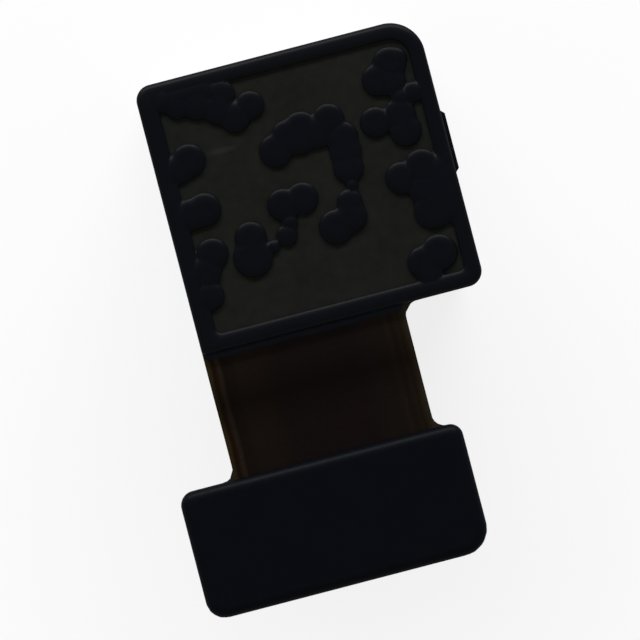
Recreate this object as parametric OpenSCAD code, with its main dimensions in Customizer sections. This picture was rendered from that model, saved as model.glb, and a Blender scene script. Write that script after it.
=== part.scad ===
// Autofocus camera module with a flex tail and a board-to-board plug.
// It lies lens down: Z = 0 is the front face of the actuator can, +Z is the back of the module,
// +Y is the far end of the head and -Y is the connector end. X = 0, Y = 0 is the middle of the plan.

/* [Head] */
// How far the head reaches past the can on the left
margin_left = 0.1; // [0.05:0.05:0.4]
// How far the head reaches past the can on the right, where the terminals are
margin_right = 0.5; // [0.45:0.05:1]
// How far the head reaches past the can at each end
margin_end = 0.05; // [0:0.05:0.4]
// Corner radius, far left
head_r_far_left = 0.5; // [0.2:0.05:0.8]
// Corner radius, far right
head_r_far_right = 1.1; // [0.4:0.05:1.4]
// Corner radius, near right
head_r_near_right = 0.5; // [0.2:0.05:0.8]
// Corner radius, near left, where the neck runs on
head_r_near_left = 0.15; // [0.1:0.05:0.4]
// Length of the terminal tab on the right edge
tab_l = 2.0; // [1.6:0.1:2.6]
// How far the terminal tab stands out
tab_out = 0.12; // [0.06:0.02:0.3]
// Distance from the far edge of the head to the tab
tab_from_far = 3.05; // [2.7:0.05:3.3]

/* [Neck] */
// Width of the neck
neck_w = 6.45; // [5:0.05:7]
// Length of the neck between head and connector plate
neck_l = 4.0; // [3.6:0.1:8]
// How far the connector end is set toward the lens side
neck_drop = 0.5; // [0.2:0.05:0.9]
// Length of the S-bend along the neck
bend_run = 2.4; // [1.8:0.1:2.8]
// Straight length between the head and the S-bend
bend_lead = 0.5; // [0.3:0.05:0.7]
// Fillet between neck and head
neck_head_fillet = 0.45; // [0.2:0.05:0.6]
// Fillets between neck and connector plate
neck_plate_fillet = 0.38; // [0.2:0.02:0.5]
// Leg of the adhesive bead across the neck
bead_leg = 0.22; // [0.12:0.02:0.28]

/* [Connector plate] */
// Width of the connector plate
plate_w = 9.1; // [8.9:0.1:10]
// Length of the connector plate
plate_l = 4.1; // [3.6:0.1:5]
// How far the plate's left edge lies left of the head's
plate_shift = 1.85; // [1:0.05:2.1]
// Corner radius, far left
plate_r_far_left = 0.45; // [0.2:0.05:0.7]
// Corner radius, far right
plate_r_far_right = 0.4; // [0.2:0.05:0.7]
// Corner radius, near left
plate_r_near_left = 0.6; // [0.2:0.05:1]
// Corner radius, near right
plate_r_near_right = 0.85; // [0.3:0.05:1.2]
// Thickness of the connector stiffener
stiffener_t = 0.35; // [0.2:0.05:0.5]
// Rounding of the stiffener's upper edge
stiffener_edge_r = 0.22; // [0.08:0.02:0.26]

/* [Boards] */
// Thickness of the image sensor's board
board_t = 0.25; // [0.25:0.05:0.4]
// Thickness of the flexible circuit
flex_t = 0.12; // [0.08:0.01:0.2]
// Thickness of the connector's own board
connector_board_t = 0.2; // [0.15:0.05:0.4]

/* [Rear cover] */
// Thickness of the steel back plate
back_plate_t = 0.16; // [0.1:0.02:0.3]
// Width of the rim that wraps the back plate's edge
rim_w = 0.2; // [0.15:0.05:0.3]
// Height of the frame and its lands over the back plate
land_h = 0.16; // [0.08:0.02:0.2]
// Rounding of the frame's upper edge
frame_edge_r = 0.15; // [0.05:0.01:0.18]
// Bevel round the top of each land
land_bevel = 0.05; // [0.02:0.01:0.07]
// Frame width on the left
frame_left = 0.6; // [0.4:0.05:0.8]
// Frame width on the right
frame_right = 0.5; // [0.4:0.05:0.8]
// Frame width at the far end
frame_far = 0.5; // [0.4:0.02:0.9]
// Frame width at the near end
frame_near = 0.55; // [0.4:0.05:0.8]
// Corner radius inside the frame
window_r = 0.2; // [0.1:0.05:0.4]

/* [Lens] */
// Outer radius of the lens barrel
barrel_r = 3.0; // [2.9:0.05:3.4]
// Wall of the barrel round the largest lens
barrel_wall = 0.4; // [0.3:0.02:0.5]
// How much smaller in radius each lens is than the one behind it
lens_step = 0.275; // [0.2:0.005:0.3]
// Setback of the barrel's front from the can's front
barrel_setback = 0.4; // [0.35:0.01:0.5]
// Thickness of the barrel's front wall
barrel_front_t = 0.35; // [0.25:0.01:0.5]
// Width of the flare round the front aperture
flare_w = 0.92; // [0.5:0.02:1]
// Bevel of the barrel's outer edges
barrel_bevel = 0.2; // [0.1:0.02:0.3]
// Width of the four tool notches in the barrel's front edge
notch_w = 0.6; // [0.3:0.05:0.9]
// Radial depth of the tool notches
notch_out = 0.4; // [0.25:0.05:0.6]
// Depth of the tool notches along the barrel
notch_h = 0.22; // [0.1:0.02:0.3]
// Height of the retaining ring
ring_t = 0.25; // [0.15:0.01:0.35]
// How far the barrel reaches past the retaining ring
barrel_skirt = 0.32; // [0.1:0.02:0.5]

/* [Carrier and coil] */
// Wall of the carrier between its bore and its winding flats
hub_wall = 0.3; // [0.24:0.01:0.4]
// How far the carrier's flanges stand out over the winding flats
flange_out = 0.33; // [0.28:0.01:0.4]
// Thickness of the carrier's front flange
front_flange_t = 0.4; // [0.3:0.02:0.6]
// Height of the coil
coil_h = 1.3; // [1:0.05:1.5]
// Radial thickness of the coil
coil_t = 0.24; // [0.15:0.01:0.26]
// Thickness of the flange behind the coil
mid_flange_t = 0.32; // [0.2:0.02:0.4]
// Width of the groove between the two flanges behind the coil
groove_w = 0.36; // [0.2:0.02:0.5]
// Thickness of the flange that carries the rear springs
rear_flange_t = 0.3; // [0.2:0.02:0.4]
// Radial thickness of the carrier's end rims
rim_t = 0.16; // [0.12:0.01:0.2]

/* [Actuator] */
// Air gap between the carrier's flanges and the magnets
magnet_gap = 0.2; // [0.12:0.01:0.3]
// Room for the spring rails between the carrier's flanges and the can
side_room = 0.45; // [0.4:0.01:0.6]
// Height of the magnets
magnet_h = 2.04; // [1.8:0.02:2.2]
// Distance from the can's middle plane to a magnet's narrow end
magnet_end = 1.65; // [1.4:0.05:2]
// Sheet thickness of the can
can_t = 0.15; // [0.1:0.01:0.2]
// Corner radius of the can
can_r = 0.5; // [0.4:0.05:0.6]
// Rounding of the can's front edge
can_edge_r = 0.14; // [0.08:0.02:0.2]
// Depth of the base's step inside the can
base_step_t = 0.2; // [0.16:0.02:0.3]
// Width of the base's teeth that lock into the can's rim
tooth_w = 0.9; // [0.5:0.05:1.2]
// Height of the base's teeth
tooth_h = 0.16; // [0.08:0.02:0.18]
// Distance of each tooth from the middle of its side
tooth_place = 2.2; // [1.5:0.1:3]
// Depth of the stop recess in the base
stop_recess_t = 0.1; // [0.06:0.01:0.14]
// Radius of the base's corner posts
post_r = 0.38; // [0.25:0.01:0.42]
// Distance from a corner post to the walls of the can
post_margin = 0.22; // [0.12:0.02:0.26]
// Gap between the rear of the barrel and the sensor housing
rear_room = 0.2; // [0.12:0.01:0.4]
// Thickness of the leaf springs
spring_t = 0.04; // [0.03:0.005:0.06]
// Width of the springs' inner ring
spring_ring_w = 0.3; // [0.2:0.01:0.32]
// Width of a spring arm
arm_w = 0.12; // [0.08:0.01:0.14]
// Half of the angle that a spring arm sweeps
arm_half_angle = 28; // [24:1:30]
// Width of the outer spring rail
spring_rail_w = 0.2; // [0.15:0.01:0.22]
// Height of the spacer under the front spring
spacer_t = 0.35; // [0.32:0.01:0.45]
// Focus travel of the lens
focus_travel = 0.25; // [0.1:0.01:0.3]
// Width of a coil terminal
terminal_w = 0.5; // [0.3:0.05:0.7]
// Thickness of a coil terminal
terminal_t = 0.1; // [0.06:0.01:0.15]
// Gap between the two coil terminals
terminal_gap = 0.6; // [0.4:0.05:0.9]

/* [Sensor housing] */
// Height of the sensor holder
holder_h = 0.85; // [0.85:0.01:1.1]
// Wall thickness of the sensor holder
holder_wall = 0.45; // [0.42:0.01:0.55]
// Thickness of the holder's window plate
holder_plate_t = 0.35; // [0.33:0.01:0.38]
// Width of the holder's window
window_w = 5.4; // [5:0.1:5.6]
// Length of the holder's window
window_l = 4.6; // [4.4:0.1:4.8]
// Width of the infrared filter
filter_w = 6.2; // [6:0.05:6.4]
// Length of the infrared filter
filter_l = 5.4; // [5.2:0.05:5.6]
// Thickness of the infrared filter
filter_t = 0.21; // [0.15:0.01:0.21]
// Width of the image sensor
sensor_w = 5.9; // [5.6:0.05:6.2]
// Length of the image sensor
sensor_l = 4.9; // [4.6:0.05:5]
// Thickness of the image sensor
sensor_t = 0.2; // [0.15:0.01:0.22]
// Radius of the holder's locating pins
pin_r = 0.2; // [0.12:0.01:0.22]
// Bond wires on each long side of the sensor
wires_per_side = 22; // [10:1:22]
// Pitch of the bond wires
wire_pitch = 0.24; // [0.16:0.01:0.26]
// Reach of a bond wire
wire_span = 0.3; // [0.24:0.01:0.34]

/* [Connector] */
// Length of the plug's housing
plug_l = 7.1; // [6.9:0.1:7.6]
// Width of the plug's housing
plug_w = 2.3; // [2.1:0.05:2.6]
// Height of the plug's housing
plug_h = 0.8; // [0.6:0.02:0.9]
// Thickness of the housing's side walls
plug_wall = 0.35; // [0.3:0.01:0.4]
// Thickness of the housing's end walls
plug_end = 0.45; // [0.3:0.01:0.5]
// Thickness of the housing's floor
plug_floor = 0.25; // [0.2:0.01:0.3]
// Contacts in each of the plug's two rows
contacts_per_row = 15; // [10:1:15]
// Pitch of the contacts
contact_pitch = 0.4; // [0.35:0.01:0.42]
// Width of a contact
contact_w = 0.18; // [0.14:0.01:0.22]
// Thickness of a contact
contact_t = 0.08; // [0.05:0.01:0.1]
// Length of a contact's solder foot
foot_l = 0.3; // [0.2:0.02:0.4]

/* [Clearances] */
// Play between parts that slip into each other
slip_fit = 0.02; // [0.01:0.005:0.03]
// Radial play between a lens and the barrel
lens_fit = 0.01; // [0.005:0.001:0.015]
// Radial play between the moving barrel and the fixed rings round it
running_gap = 0.08; // [0.05:0.01:0.12]
// Gap between the carrier and its stops
stop_gap = 0.01; // [0.005:0.001:0.02]

/* [Hidden] */
$fn = 32;
tiny = 0.01;

// Lens stack: for each lens, from the front to the sensor
lens_r = [for (i = [0:4]) barrel_r - barrel_wall - (4 - i) * lens_step];
lens_edge_t = [0.42, 0.33, 0.36, 0.42, 0.45];
lens_flange_w = [0.55, 0.75, 0.8, 0.75, 0.6];
lens_clear_r = [for (i = [0:4]) lens_r[i] - lens_flange_w[i]];
lens_front_bulge = [0.22, -0.02, -0.03, -0.16, -0.15];
lens_back_bulge = [-0.05, -0.12, 0.06, 0.1, -0.08];
lens_back_wave = [0, 0, 0, 0, 0.48];
gasket_t = [0.05, 0.1, 0.15, 0.15];
gasket_play = 0.1;
aperture_play = 0.03;

// Distance from the can's front to the seat of lens i, over the lenses and gaskets before it
function seat_z(i) =
    i == 0 ? barrel_setback + barrel_front_t : seat_z(i - 1) + lens_edge_t[i - 1] + gasket_t[i - 1];

stack_end_z = seat_z(4) + lens_edge_t[4];
barrel_end_z = stack_end_z + ring_t + barrel_skirt;
aperture_r = lens_clear_r[0] + aperture_play;
flare_r = aperture_r + flare_w;

// Carrier, magnets and can, from the barrel outwards
carrier_bore_r = barrel_r + slip_fit;
rim_r = carrier_bore_r + rim_t;
hub_flat = carrier_bore_r + hub_wall;
flange_flat = hub_flat + flange_out;
magnet_face = flange_flat + magnet_gap;
cavity_w = 2 * (flange_flat + side_room);
can_w = cavity_w + 2 * can_t;
hole_r = barrel_r + running_gap;

// Levels inside the actuator, from the front of the can
front_spring_z = can_t + spacer_t;
carrier_z = front_spring_z + spring_t;
coil_z = carrier_z + front_flange_t + slip_fit;
mid_flange_z = coil_z + coil_h + slip_fit;
carrier_end_z = mid_flange_z + mid_flange_t + groove_w + rear_flange_t;
step_z = carrier_end_z + spring_t;
recess_floor_z = step_z + stop_recess_t;
can_h = step_z + base_step_t;
magnet_z = carrier_z + slip_fit;
magnet_side = cavity_w / 2 - slip_fit;

// Leaf springs and base
spring_ring_r = rim_r + slip_fit + spring_ring_w;
spring_w = cavity_w - 2 * slip_fit;
rail_inner_w = spring_w - 2 * spring_rail_w;
arm_r = (spring_ring_r + rail_inner_w / 2) / 2 + arm_w / 2;
corner_pad_r = rail_inner_w / 2 + post_r + slip_fit;
post_place = cavity_w / 2 - post_r - post_margin;

// Levels of the module, from the front of the can to the back of the rear frame
actuator_h = barrel_end_z + rear_room;
base_flange_t = actuator_h - can_h;
board_z = actuator_h + holder_h;
flex_z = board_z + board_t;
cover_z = flex_z + flex_t;
total_h = cover_z + back_plate_t + land_h;
tail_z = flex_z - neck_drop;

// Plan, with the middle of the whole outline at the origin
head_w = margin_left + can_w + margin_right;
head_l = can_w + 2 * margin_end;
total_w = plate_shift + head_w + tab_out;
total_l = head_l + neck_l + plate_l;
plate_x = -total_w / 2;
plate_y = -total_l / 2;
head_x = plate_x + plate_shift;
head_y = total_l / 2 - head_l;
axis_x = head_x + margin_left + can_w / 2;
axis_y = head_y + head_l / 2;
tab_y = head_y + head_l - tab_from_far - tab_l / 2;
plug_x = plate_x + plate_w / 2;
plug_y = plate_y + plate_l / 2;

// Round lands by the left and far edges of the head: [from that side, from the far edge, radius]
lands_left = [
    [0.8, 0.6, 0.35], [1.2, 0.85, 0.42], [1.5, 0.6, 0.3], [1.8, 0.95, 0.5], [2.2, 0.65, 0.35],
    [2.4, 1.25, 0.5], [2.6, 0.85, 0.45], [2.85, 1.65, 0.48], [3.4, 1.4, 0.45],
    [1.12, 2.6, 0.53], [0.75, 2.8, 0.45], [1.2, 4.2, 0.53], [0.75, 4.25, 0.5],
    [1.1, 5.6, 0.5], [0.75, 6.1, 0.5], [0.7, 6.85, 0.45],
    [3.82, 2.98, 0.52], [4.3, 2.65, 0.53], [4.75, 2.5, 0.53], [4.65, 2.82, 0.48], [5.2, 2.75, 0.5],
    [5.65, 2.45, 0.5], [5.93, 3.1, 0.5], [5.92, 3.55, 0.5], [5.88, 4.05, 0.48], [5.85, 4.6, 0.2],
    [5.65, 5.1, 0.4], [5.58, 5.55, 0.5], [5.05, 5.75, 0.54],
    [3.62, 4.66, 0.5], [4.25, 4.62, 0.5], [3.68, 5.25, 0.25], [3.5, 5.62, 0.33], [3.0, 5.85, 0.2],
    [2.38, 5.4, 0.5], [2.3, 6.02, 0.62]
];
// Round lands by the right and far edges
lands_right = [
    [1.3, 1.22, 0.52], [1.08, 1.2, 0.36], [1.65, 1.65, 0.5], [1.25, 1.8, 0.45], [0.85, 2.32, 0.3],
    [1.1, 2.35, 0.3], [2.05, 2.9, 0.48], [1.25, 2.85, 0.5], [1.2, 3.38, 0.5], [1.7, 4.78, 0.5], [1.0, 4.6, 0.55],
    [1.1, 5.3, 0.5], [1.0, 6.0, 0.6]
];
// Round lands by the right and near edges
lands_near_right = [[1.15, 1.27, 0.57], [1.7, 1.1, 0.5], [1.6, 0.75, 0.42]];
// Bar that joins the right-hand lands to the frame: its width, its length and its place from the far edge
land_bar_w = 1.1;
land_bar_l = 2.1;
land_bar_from_far = 4.4;

// ---- Outlines ----

// A rectangle with its own radius at each corner: [near left, near right, far right, far left]
module rounded_plan(w, l, radii) {
    difference() {
        square([w, l]);
        for (i = [0:3]) {
            r = radii[i];
            corner = [[0, 0], [w - r, 0], [w - r, l - r], [0, l - r]][i];
            translate(corner) square(r);
        }
    }
    for (i = [0:3]) {
        r = radii[i];
        centre = [[r, r], [w - r, r], [w - r, l - r], [r, l - r]][i];
        translate(centre) circle(r);
    }
}

// A centred square with equal corner radii
module rounded_square(w, r) {
    translate([-w / 2, -w / 2]) rounded_plan(w, w, [r, r, r, r]);
}

// A concave fillet that fills the inner corner at the origin toward +X, +Y
module inner_fillet(r) {
    difference() {
        square(r);
        translate([r, r]) circle(r);
    }
}

module head_plan(inset = 0) {
    translate([head_x + inset, head_y + inset])
        rounded_plan(head_w - 2 * inset, head_l - 2 * inset, [
            max(head_r_near_left - inset, 0.05), head_r_near_right - inset,
            head_r_far_right - inset, head_r_far_left - inset
        ]);
}

module plate_plan(inset = 0) {
    translate([plate_x + inset, plate_y + inset])
        rounded_plan(plate_w - 2 * inset, plate_l - 2 * inset, [
            plate_r_near_left - inset, plate_r_near_right - inset,
            plate_r_far_right - inset, plate_r_far_left - inset
        ]);
}

module neck_plan() {
    translate([head_x, plate_y + plate_l / 2])
        square([neck_w, head_y + head_l / 2 - plate_y - plate_l / 2]);
    translate([head_x + neck_w, head_y]) mirror([0, 1]) inner_fillet(neck_head_fillet);
    translate([head_x + neck_w, plate_y + plate_l]) inner_fillet(neck_plate_fillet);
    translate([head_x, plate_y + plate_l]) mirror([1, 0]) inner_fillet(neck_plate_fillet);
}

// The tab's two ends run back to the head's edge at 45 degrees
module tab_plan() {
    edge = head_x + head_w;
    polygon([
        [edge - tab_out, tab_y - tab_l / 2], [edge, tab_y - tab_l / 2],
        [edge + tab_out, tab_y - tab_l / 2 + tab_out], [edge + tab_out, tab_y + tab_l / 2 - tab_out],
        [edge, tab_y + tab_l / 2], [edge - tab_out, tab_y + tab_l / 2]
    ]);
}

// A regular octagon by the distance from its middle to its flats
module octagon(flat) {
    rotate(22.5) circle(flat / cos(22.5), $fn = 8);
}

module on_axis() {
    translate([axis_x, axis_y, 0]) children();
}

// A slab with a rounded upper edge over any plan that shrinks by an inset
module soft_slab(h, edge_r, steps = 4) {
    hull() {
        linear_extrude(h - edge_r) children(0);
        for (i = [1:steps]) {
            a = 90 * i / steps;
            translate([0, 0, h - edge_r + edge_r * sin(a) - tiny])
                linear_extrude(tiny) offset(delta = -edge_r * (1 - cos(a))) children(0);
        }
    }
}

// ---- Rear cover ----

module window_plan() {
    translate([head_x + frame_left, head_y + frame_near])
        rounded_plan(
            head_w - frame_left - frame_right, head_l - frame_near - frame_far,
            [window_r, window_r, head_r_far_right - frame_right, window_r]
        );
}

// A round land with a bevelled top
module land(r) {
    body_h = land_h - land_bevel;
    cylinder(h = body_h, r = r);
    translate([0, 0, body_h]) cylinder(h = land_bevel, r1 = r, r2 = r - land_bevel);
}

module land_field() {
    right = head_x + head_w;
    far = head_y + head_l;
    for (p = lands_left) translate([head_x + p[0], far - p[1], 0]) land(p[2]);
    for (p = lands_right) translate([right - p[0], far - p[1], 0]) land(p[2]);
    for (p = lands_near_right) translate([right - p[0], head_y + p[1], 0]) land(p[2]);
    translate([right - land_bar_w, far - land_bar_from_far - land_bar_l, 0])
        cube([land_bar_w - frame_edge_r, land_bar_l, land_h - tiny]);
}

module rear_frame() {
    color([0.05, 0.055, 0.07]) translate([0, 0, cover_z]) {
        difference() {
            soft_slab(back_plate_t + land_h, frame_edge_r) head_plan();
            translate([0, 0, -1]) linear_extrude(1 + back_plate_t) head_plan(rim_w);
            linear_extrude(1) window_plan();
        }
        translate([0, 0, back_plate_t]) land_field();
    }
}

module back_plate() {
    color([0.1, 0.1, 0.09])
        translate([0, 0, cover_z]) linear_extrude(back_plate_t) head_plan(rim_w);
}

// ---- Flexible circuit and boards ----

// Half of the S-bend's turning angle, and its radius, from its drop and its run
bend_angle = 2 * atan(neck_drop / bend_run);
bend_r = bend_run / (2 * sin(bend_angle));
bend_y = head_y - bend_lead;

// Height of the flex's lower face along the bend, measured down from the head
function bend_fall(s) =
    s < bend_run / 2
        ? bend_r - sqrt(bend_r * bend_r - s * s)
        : neck_drop - bend_r + sqrt(bend_r * bend_r - (bend_run - s) * (bend_run - s));

bend_steps = 16;
bend_line = [
    [head_y + head_l + 1, flex_z],
    for (i = [0:bend_steps]) let (s = bend_run * i / bend_steps) [bend_y - s, flex_z - bend_fall(s)],
    [plate_y - 1, tail_z]
];

module flex_circuit() {
    above = [for (p = bend_line) [p[0], p[1] + flex_t]];
    below = [for (i = [len(bend_line) - 1:-1:0]) bend_line[i]];
    color([0.06, 0.05, 0.04]) intersection() {
        translate([-total_w, 0, 0]) rotate([90, 0, 90])
            linear_extrude(2 * total_w) polygon(concat(above, below));
        linear_extrude(total_h) {
            head_plan();
            neck_plan();
            plate_plan();
        }
    }
}

module neck_bead() {
    color([0.03, 0.028, 0.03])
        translate([head_x, head_y, cover_z]) rotate([90, 0, 90]) linear_extrude(neck_w) difference() {
            mirror([1, 0]) square(bead_leg);
            translate([-bead_leg, bead_leg]) circle(bead_leg);
        }
}

// The locating pins end short of the flex, in blind holes of the board
pin_l = board_t - 3 * slip_fit;

module head_board() {
    color([0.1, 0.16, 0.1]) translate([0, 0, board_z]) difference() {
        linear_extrude(board_t) {
            head_plan();
            tab_plan();
        }
        pin_places() translate([0, 0, -1]) cylinder(h = 1 + pin_l + slip_fit, r = pin_r + slip_fit);
    }
}

module pin_places() {
    place = can_w / 2 - pin_r - 0.1;
    for (side = [-1, 1]) translate([axis_x + side * place, axis_y - side * place, 0]) children();
}

module connector_board() {
    color([0.1, 0.16, 0.1])
        translate([0, 0, tail_z - connector_board_t]) linear_extrude(connector_board_t) plate_plan();
}

module connector_stiffener() {
    color([0.04, 0.045, 0.06])
        translate([0, 0, tail_z + flex_t]) soft_slab(stiffener_t, stiffener_edge_r) plate_plan();
}

// ---- Image sensor and its parts ----

sensor_z = board_z - sensor_t;

module image_sensor() {
    on_axis() color([0.25, 0.28, 0.35]) translate([-sensor_w / 2, -sensor_l / 2, sensor_z])
        cube([sensor_w, sensor_l, sensor_t]);
}

wire_t = 0.03;
wire_loop = 0.12;
wire_foot = 0.06;
pad_inset = wire_span / 3;

// A wire's depth below the board along its span, from the sensor's pad to the board's
function wire_rise(t) = sensor_t * (1 - t) + wire_loop * sin(180 * t);

module bond_wire() {
    steps = 6;
    rise = [for (i = [0:steps]) [wire_span * i / steps, wire_rise(i / steps)]];
    linear_extrude(wire_t, center = true) polygon(concat(
        [[-wire_foot, sensor_t]], rise, [[wire_span + wire_foot, 0], [wire_span + wire_foot, wire_t]],
        [for (i = [steps:-1:0]) rise[i] + [0, wire_t]], [[-wire_foot, sensor_t + wire_t]]
    ));
}

module bond_wires() {
    on_axis() color([0.85, 0.65, 0.25]) translate([0, 0, board_z])
        for (side = [0, 180], i = [0:wires_per_side - 1])
            rotate(side)
                translate([(i - (wires_per_side - 1) / 2) * wire_pitch, sensor_l / 2 - pad_inset, 0])
                mirror([0, 0, 1]) rotate([90, 0, 90]) bond_wire();
}

// The chips and capacitors stand beyond the feet of the bond wires
parts_y = sensor_l / 2 - pad_inset + wire_span + wire_foot + 0.1;

module chip_capacitors() {
    body = [0.6, 0.3, 0.3];
    pitch = 0.95;
    on_axis() color([0.6, 0.5, 0.35]) for (i = [-3:3])
        translate([i * pitch - body[0] / 2, -parts_y - body[1], board_z - body[2]]) cube(body);
}

module focus_driver() {
    body = [1.2, 0.6, 0.3];
    on_axis() color([0.12, 0.12, 0.13])
        translate([sensor_w / 2 - body[0], parts_y, board_z - body[2]]) cube(body);
}

module memory_chip() {
    body = [0.8, 0.6, 0.25];
    on_axis() color([0.12, 0.12, 0.13])
        translate([-sensor_w / 2, parts_y, board_z - body[2]]) cube(body);
}

module sensor_holder() {
    filter_seat = filter_t + slip_fit;
    filter_play = 0.05;
    lap = 0.2;
    color([0.05, 0.05, 0.05]) {
        on_axis() translate([0, 0, actuator_h]) difference() {
            linear_extrude(holder_h) rounded_square(can_w, can_r);
            translate([0, 0, holder_plate_t]) linear_extrude(holder_h)
                rounded_square(can_w - 2 * holder_wall, 0.3);
            linear_extrude(2 * holder_plate_t, center = true)
                square([filter_w + 2 * filter_play, filter_l + 2 * filter_play], center = true);
            linear_extrude(2 * holder_h, center = true) square([window_w, window_l], center = true);
        }
        on_axis() translate([0, 0, actuator_h + filter_seat]) difference() {
            linear_extrude(holder_plate_t - filter_seat)
                square([filter_w + 2 * lap, filter_l + 2 * lap], center = true);
            linear_extrude(2 * holder_h, center = true) square([window_w, window_l], center = true);
        }
        pin_places() translate([0, 0, board_z - tiny]) cylinder(h = pin_l + tiny, r = pin_r);
    }
}

module ir_filter() {
    on_axis() color([0.55, 0.75, 0.8, 0.6])
        translate([-filter_w / 2, -filter_l / 2, actuator_h + slip_fit])
        cube([filter_w, filter_l, filter_t]);
}

// ---- Autofocus actuator ----

module actuator_can() {
    on_axis() color([0.55, 0.55, 0.57]) difference() {
        translate([0, 0, can_h]) mirror([0, 0, 1]) soft_slab(can_h, can_edge_r)
            rounded_square(can_w, can_r);
        translate([0, 0, can_t]) linear_extrude(can_h) rounded_square(cavity_w, can_r - can_t);
        translate([0, 0, -1]) cylinder(h = 2, r = hole_r);
        tooth_places() translate([-can_t, -tooth_w / 2, can_h - tooth_h])
            cube([3 * can_t, tooth_w, 2 * tooth_h]);
    }
}

// Two places on each side of the can, on the inner face of its wall
module tooth_places() {
    for (a = [0:90:270], side = [-1, 1]) rotate(a)
        translate([cavity_w / 2, side * tooth_place, 0]) children();
}

module corner_places() {
    for (a = [0:90:270]) rotate(a) translate([post_place, post_place, 0]) children();
}

// A terminal lies under the spring's rail, steps through the flange and runs up outside to the board
terminal_in = spring_w / 2 - spring_rail_w;
terminal_riser = terminal_in + 0.05;
terminal_out = can_w / 2 + 0.08;
terminal_knee_z = can_h + 0.1;

module terminal() {
    rotate([90, 0, 0]) linear_extrude(terminal_w, center = true) {
        translate([terminal_in, step_z]) square([spring_rail_w, terminal_t]);
        translate([terminal_riser, step_z])
            square([terminal_t, terminal_knee_z - step_z + terminal_t]);
        translate([terminal_riser, terminal_knee_z])
            square([terminal_out - terminal_riser + terminal_t, terminal_t]);
        translate([terminal_out, terminal_knee_z]) square([terminal_t, board_z - terminal_knee_z]);
    }
}

module terminal_places() {
    for (side = [-1, 1])
        translate([axis_x, tab_y + side * (terminal_w + terminal_gap) / 2, 0]) children();
}

module coil_terminals() {
    color([0.7, 0.55, 0.3]) terminal_places() terminal();
}

module terminal_solder() {
    leg = head_x + head_w - axis_x - terminal_out - terminal_t;
    color([0.75, 0.75, 0.76]) terminal_places()
        translate([terminal_out + terminal_t, 0, board_z]) rotate([90, 0, 0])
        linear_extrude(terminal_w, center = true) polygon([[0, 0], [leg, 0], [0, -leg]]);
}

module actuator_base() {
    color([0.08, 0.08, 0.08]) difference() {
        on_axis() {
            translate([0, 0, can_h]) linear_extrude(base_flange_t) rounded_square(can_w, can_r);
            translate([0, 0, step_z]) linear_extrude(base_step_t + tiny)
                rounded_square(spring_w, can_r - can_t);
            tooth_places()
                translate([-2 * slip_fit, slip_fit - tooth_w / 2, can_h - tooth_h + slip_fit])
                cube([can_t + 2 * slip_fit, tooth_w - 2 * slip_fit, tooth_h]);
            corner_places() translate([0, 0, magnet_z + magnet_h + slip_fit])
                cylinder(h = step_z - magnet_z - magnet_h, r = post_r);
        }
        on_axis() {
            translate([0, 0, step_z - 1]) cylinder(h = 3, r = hole_r);
            translate([0, 0, step_z - 1]) cylinder(h = 1 + stop_recess_t, r = arm_r);
        }
        terminal_places() terminal();
    }
}

// The square rail of a spring, with a pad in each corner
module rail_plan() {
    difference() {
        rounded_square(spring_w, can_r - can_t);
        intersection() {
            square(rail_inner_w, center = true);
            circle(corner_pad_r);
        }
    }
}

// A leaf spring: the rail, four arc arms and the ring on the carrier
module leaf_spring_plan(pad_hole_r) {
    difference() {
        circle(spring_ring_r);
        circle(rim_r + slip_fit);
    }
    difference() {
        rail_plan();
        corner_places() circle(pad_hole_r);
    }
    for (a = [45:90:315]) rotate(a) {
        intersection() {
            difference() {
                circle(arm_r + arm_w / 2);
                circle(arm_r - arm_w / 2);
            }
            polygon([
                [0, 0], [2 * arm_r, -2 * arm_r * tan(arm_half_angle)],
                [2 * arm_r, 2 * arm_r * tan(arm_half_angle)]
            ]);
        }
        rotate(-arm_half_angle) translate([spring_ring_r - tiny, -arm_w / 2])
            square([arm_r - spring_ring_r + arm_w / 2, arm_w]);
        rotate(arm_half_angle) translate([arm_r - arm_w / 2, -arm_w / 2])
            square([spring_w / 2 - arm_r + arm_w / 2, arm_w]);
    }
}

module front_spring() {
    on_axis() color([0.8, 0.7, 0.5]) translate([0, 0, front_spring_z])
        linear_extrude(spring_t) leaf_spring_plan(post_r / 2);
}

// The rear spring is cut in two across the axis, because each half feeds one end of the coil
module rear_springs() {
    slot_w = 0.15;
    on_axis() color([0.8, 0.7, 0.5]) translate([0, 0, carrier_end_z]) linear_extrude(spring_t)
        difference() {
            leaf_spring_plan(post_r + slip_fit);
            square([2 * can_w, slot_w], center = true);
        }
}

module spring_spacer() {
    on_axis() color([0.15, 0.15, 0.15])
        translate([0, 0, can_t]) linear_extrude(spacer_t) rail_plan();
}

module magnet(i) {
    end = magnet_end;
    inner = magnet_face * sqrt(2) - end;
    bevel = can_r - can_t;
    on_axis() rotate(90 * i) color([0.45, 0.45, 0.47]) translate([0, 0, magnet_z])
        linear_extrude(magnet_h) polygon([
            [inner, end], [magnet_side, end], [magnet_side, magnet_side - bevel],
            [magnet_side - bevel, magnet_side], [end, magnet_side], [end, inner]
        ]);
}

module carrier_flange(z, h) {
    translate([0, 0, z]) linear_extrude(h) octagon(flange_flat);
}

module lens_carrier() {
    front_stop_z = can_t + focus_travel + stop_gap;
    rear_stop_z = recess_floor_z - stop_gap;
    on_axis() color([0.12, 0.12, 0.13]) difference() {
        union() {
            translate([0, 0, carrier_z]) linear_extrude(carrier_end_z - carrier_z) octagon(hub_flat);
            carrier_flange(carrier_z, front_flange_t);
            carrier_flange(mid_flange_z, mid_flange_t);
            carrier_flange(carrier_end_z - rear_flange_t, rear_flange_t);
            translate([0, 0, front_stop_z]) cylinder(h = rear_stop_z - front_stop_z, r = rim_r);
        }
        cylinder(h = can_h, r = carrier_bore_r);
    }
}

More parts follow.
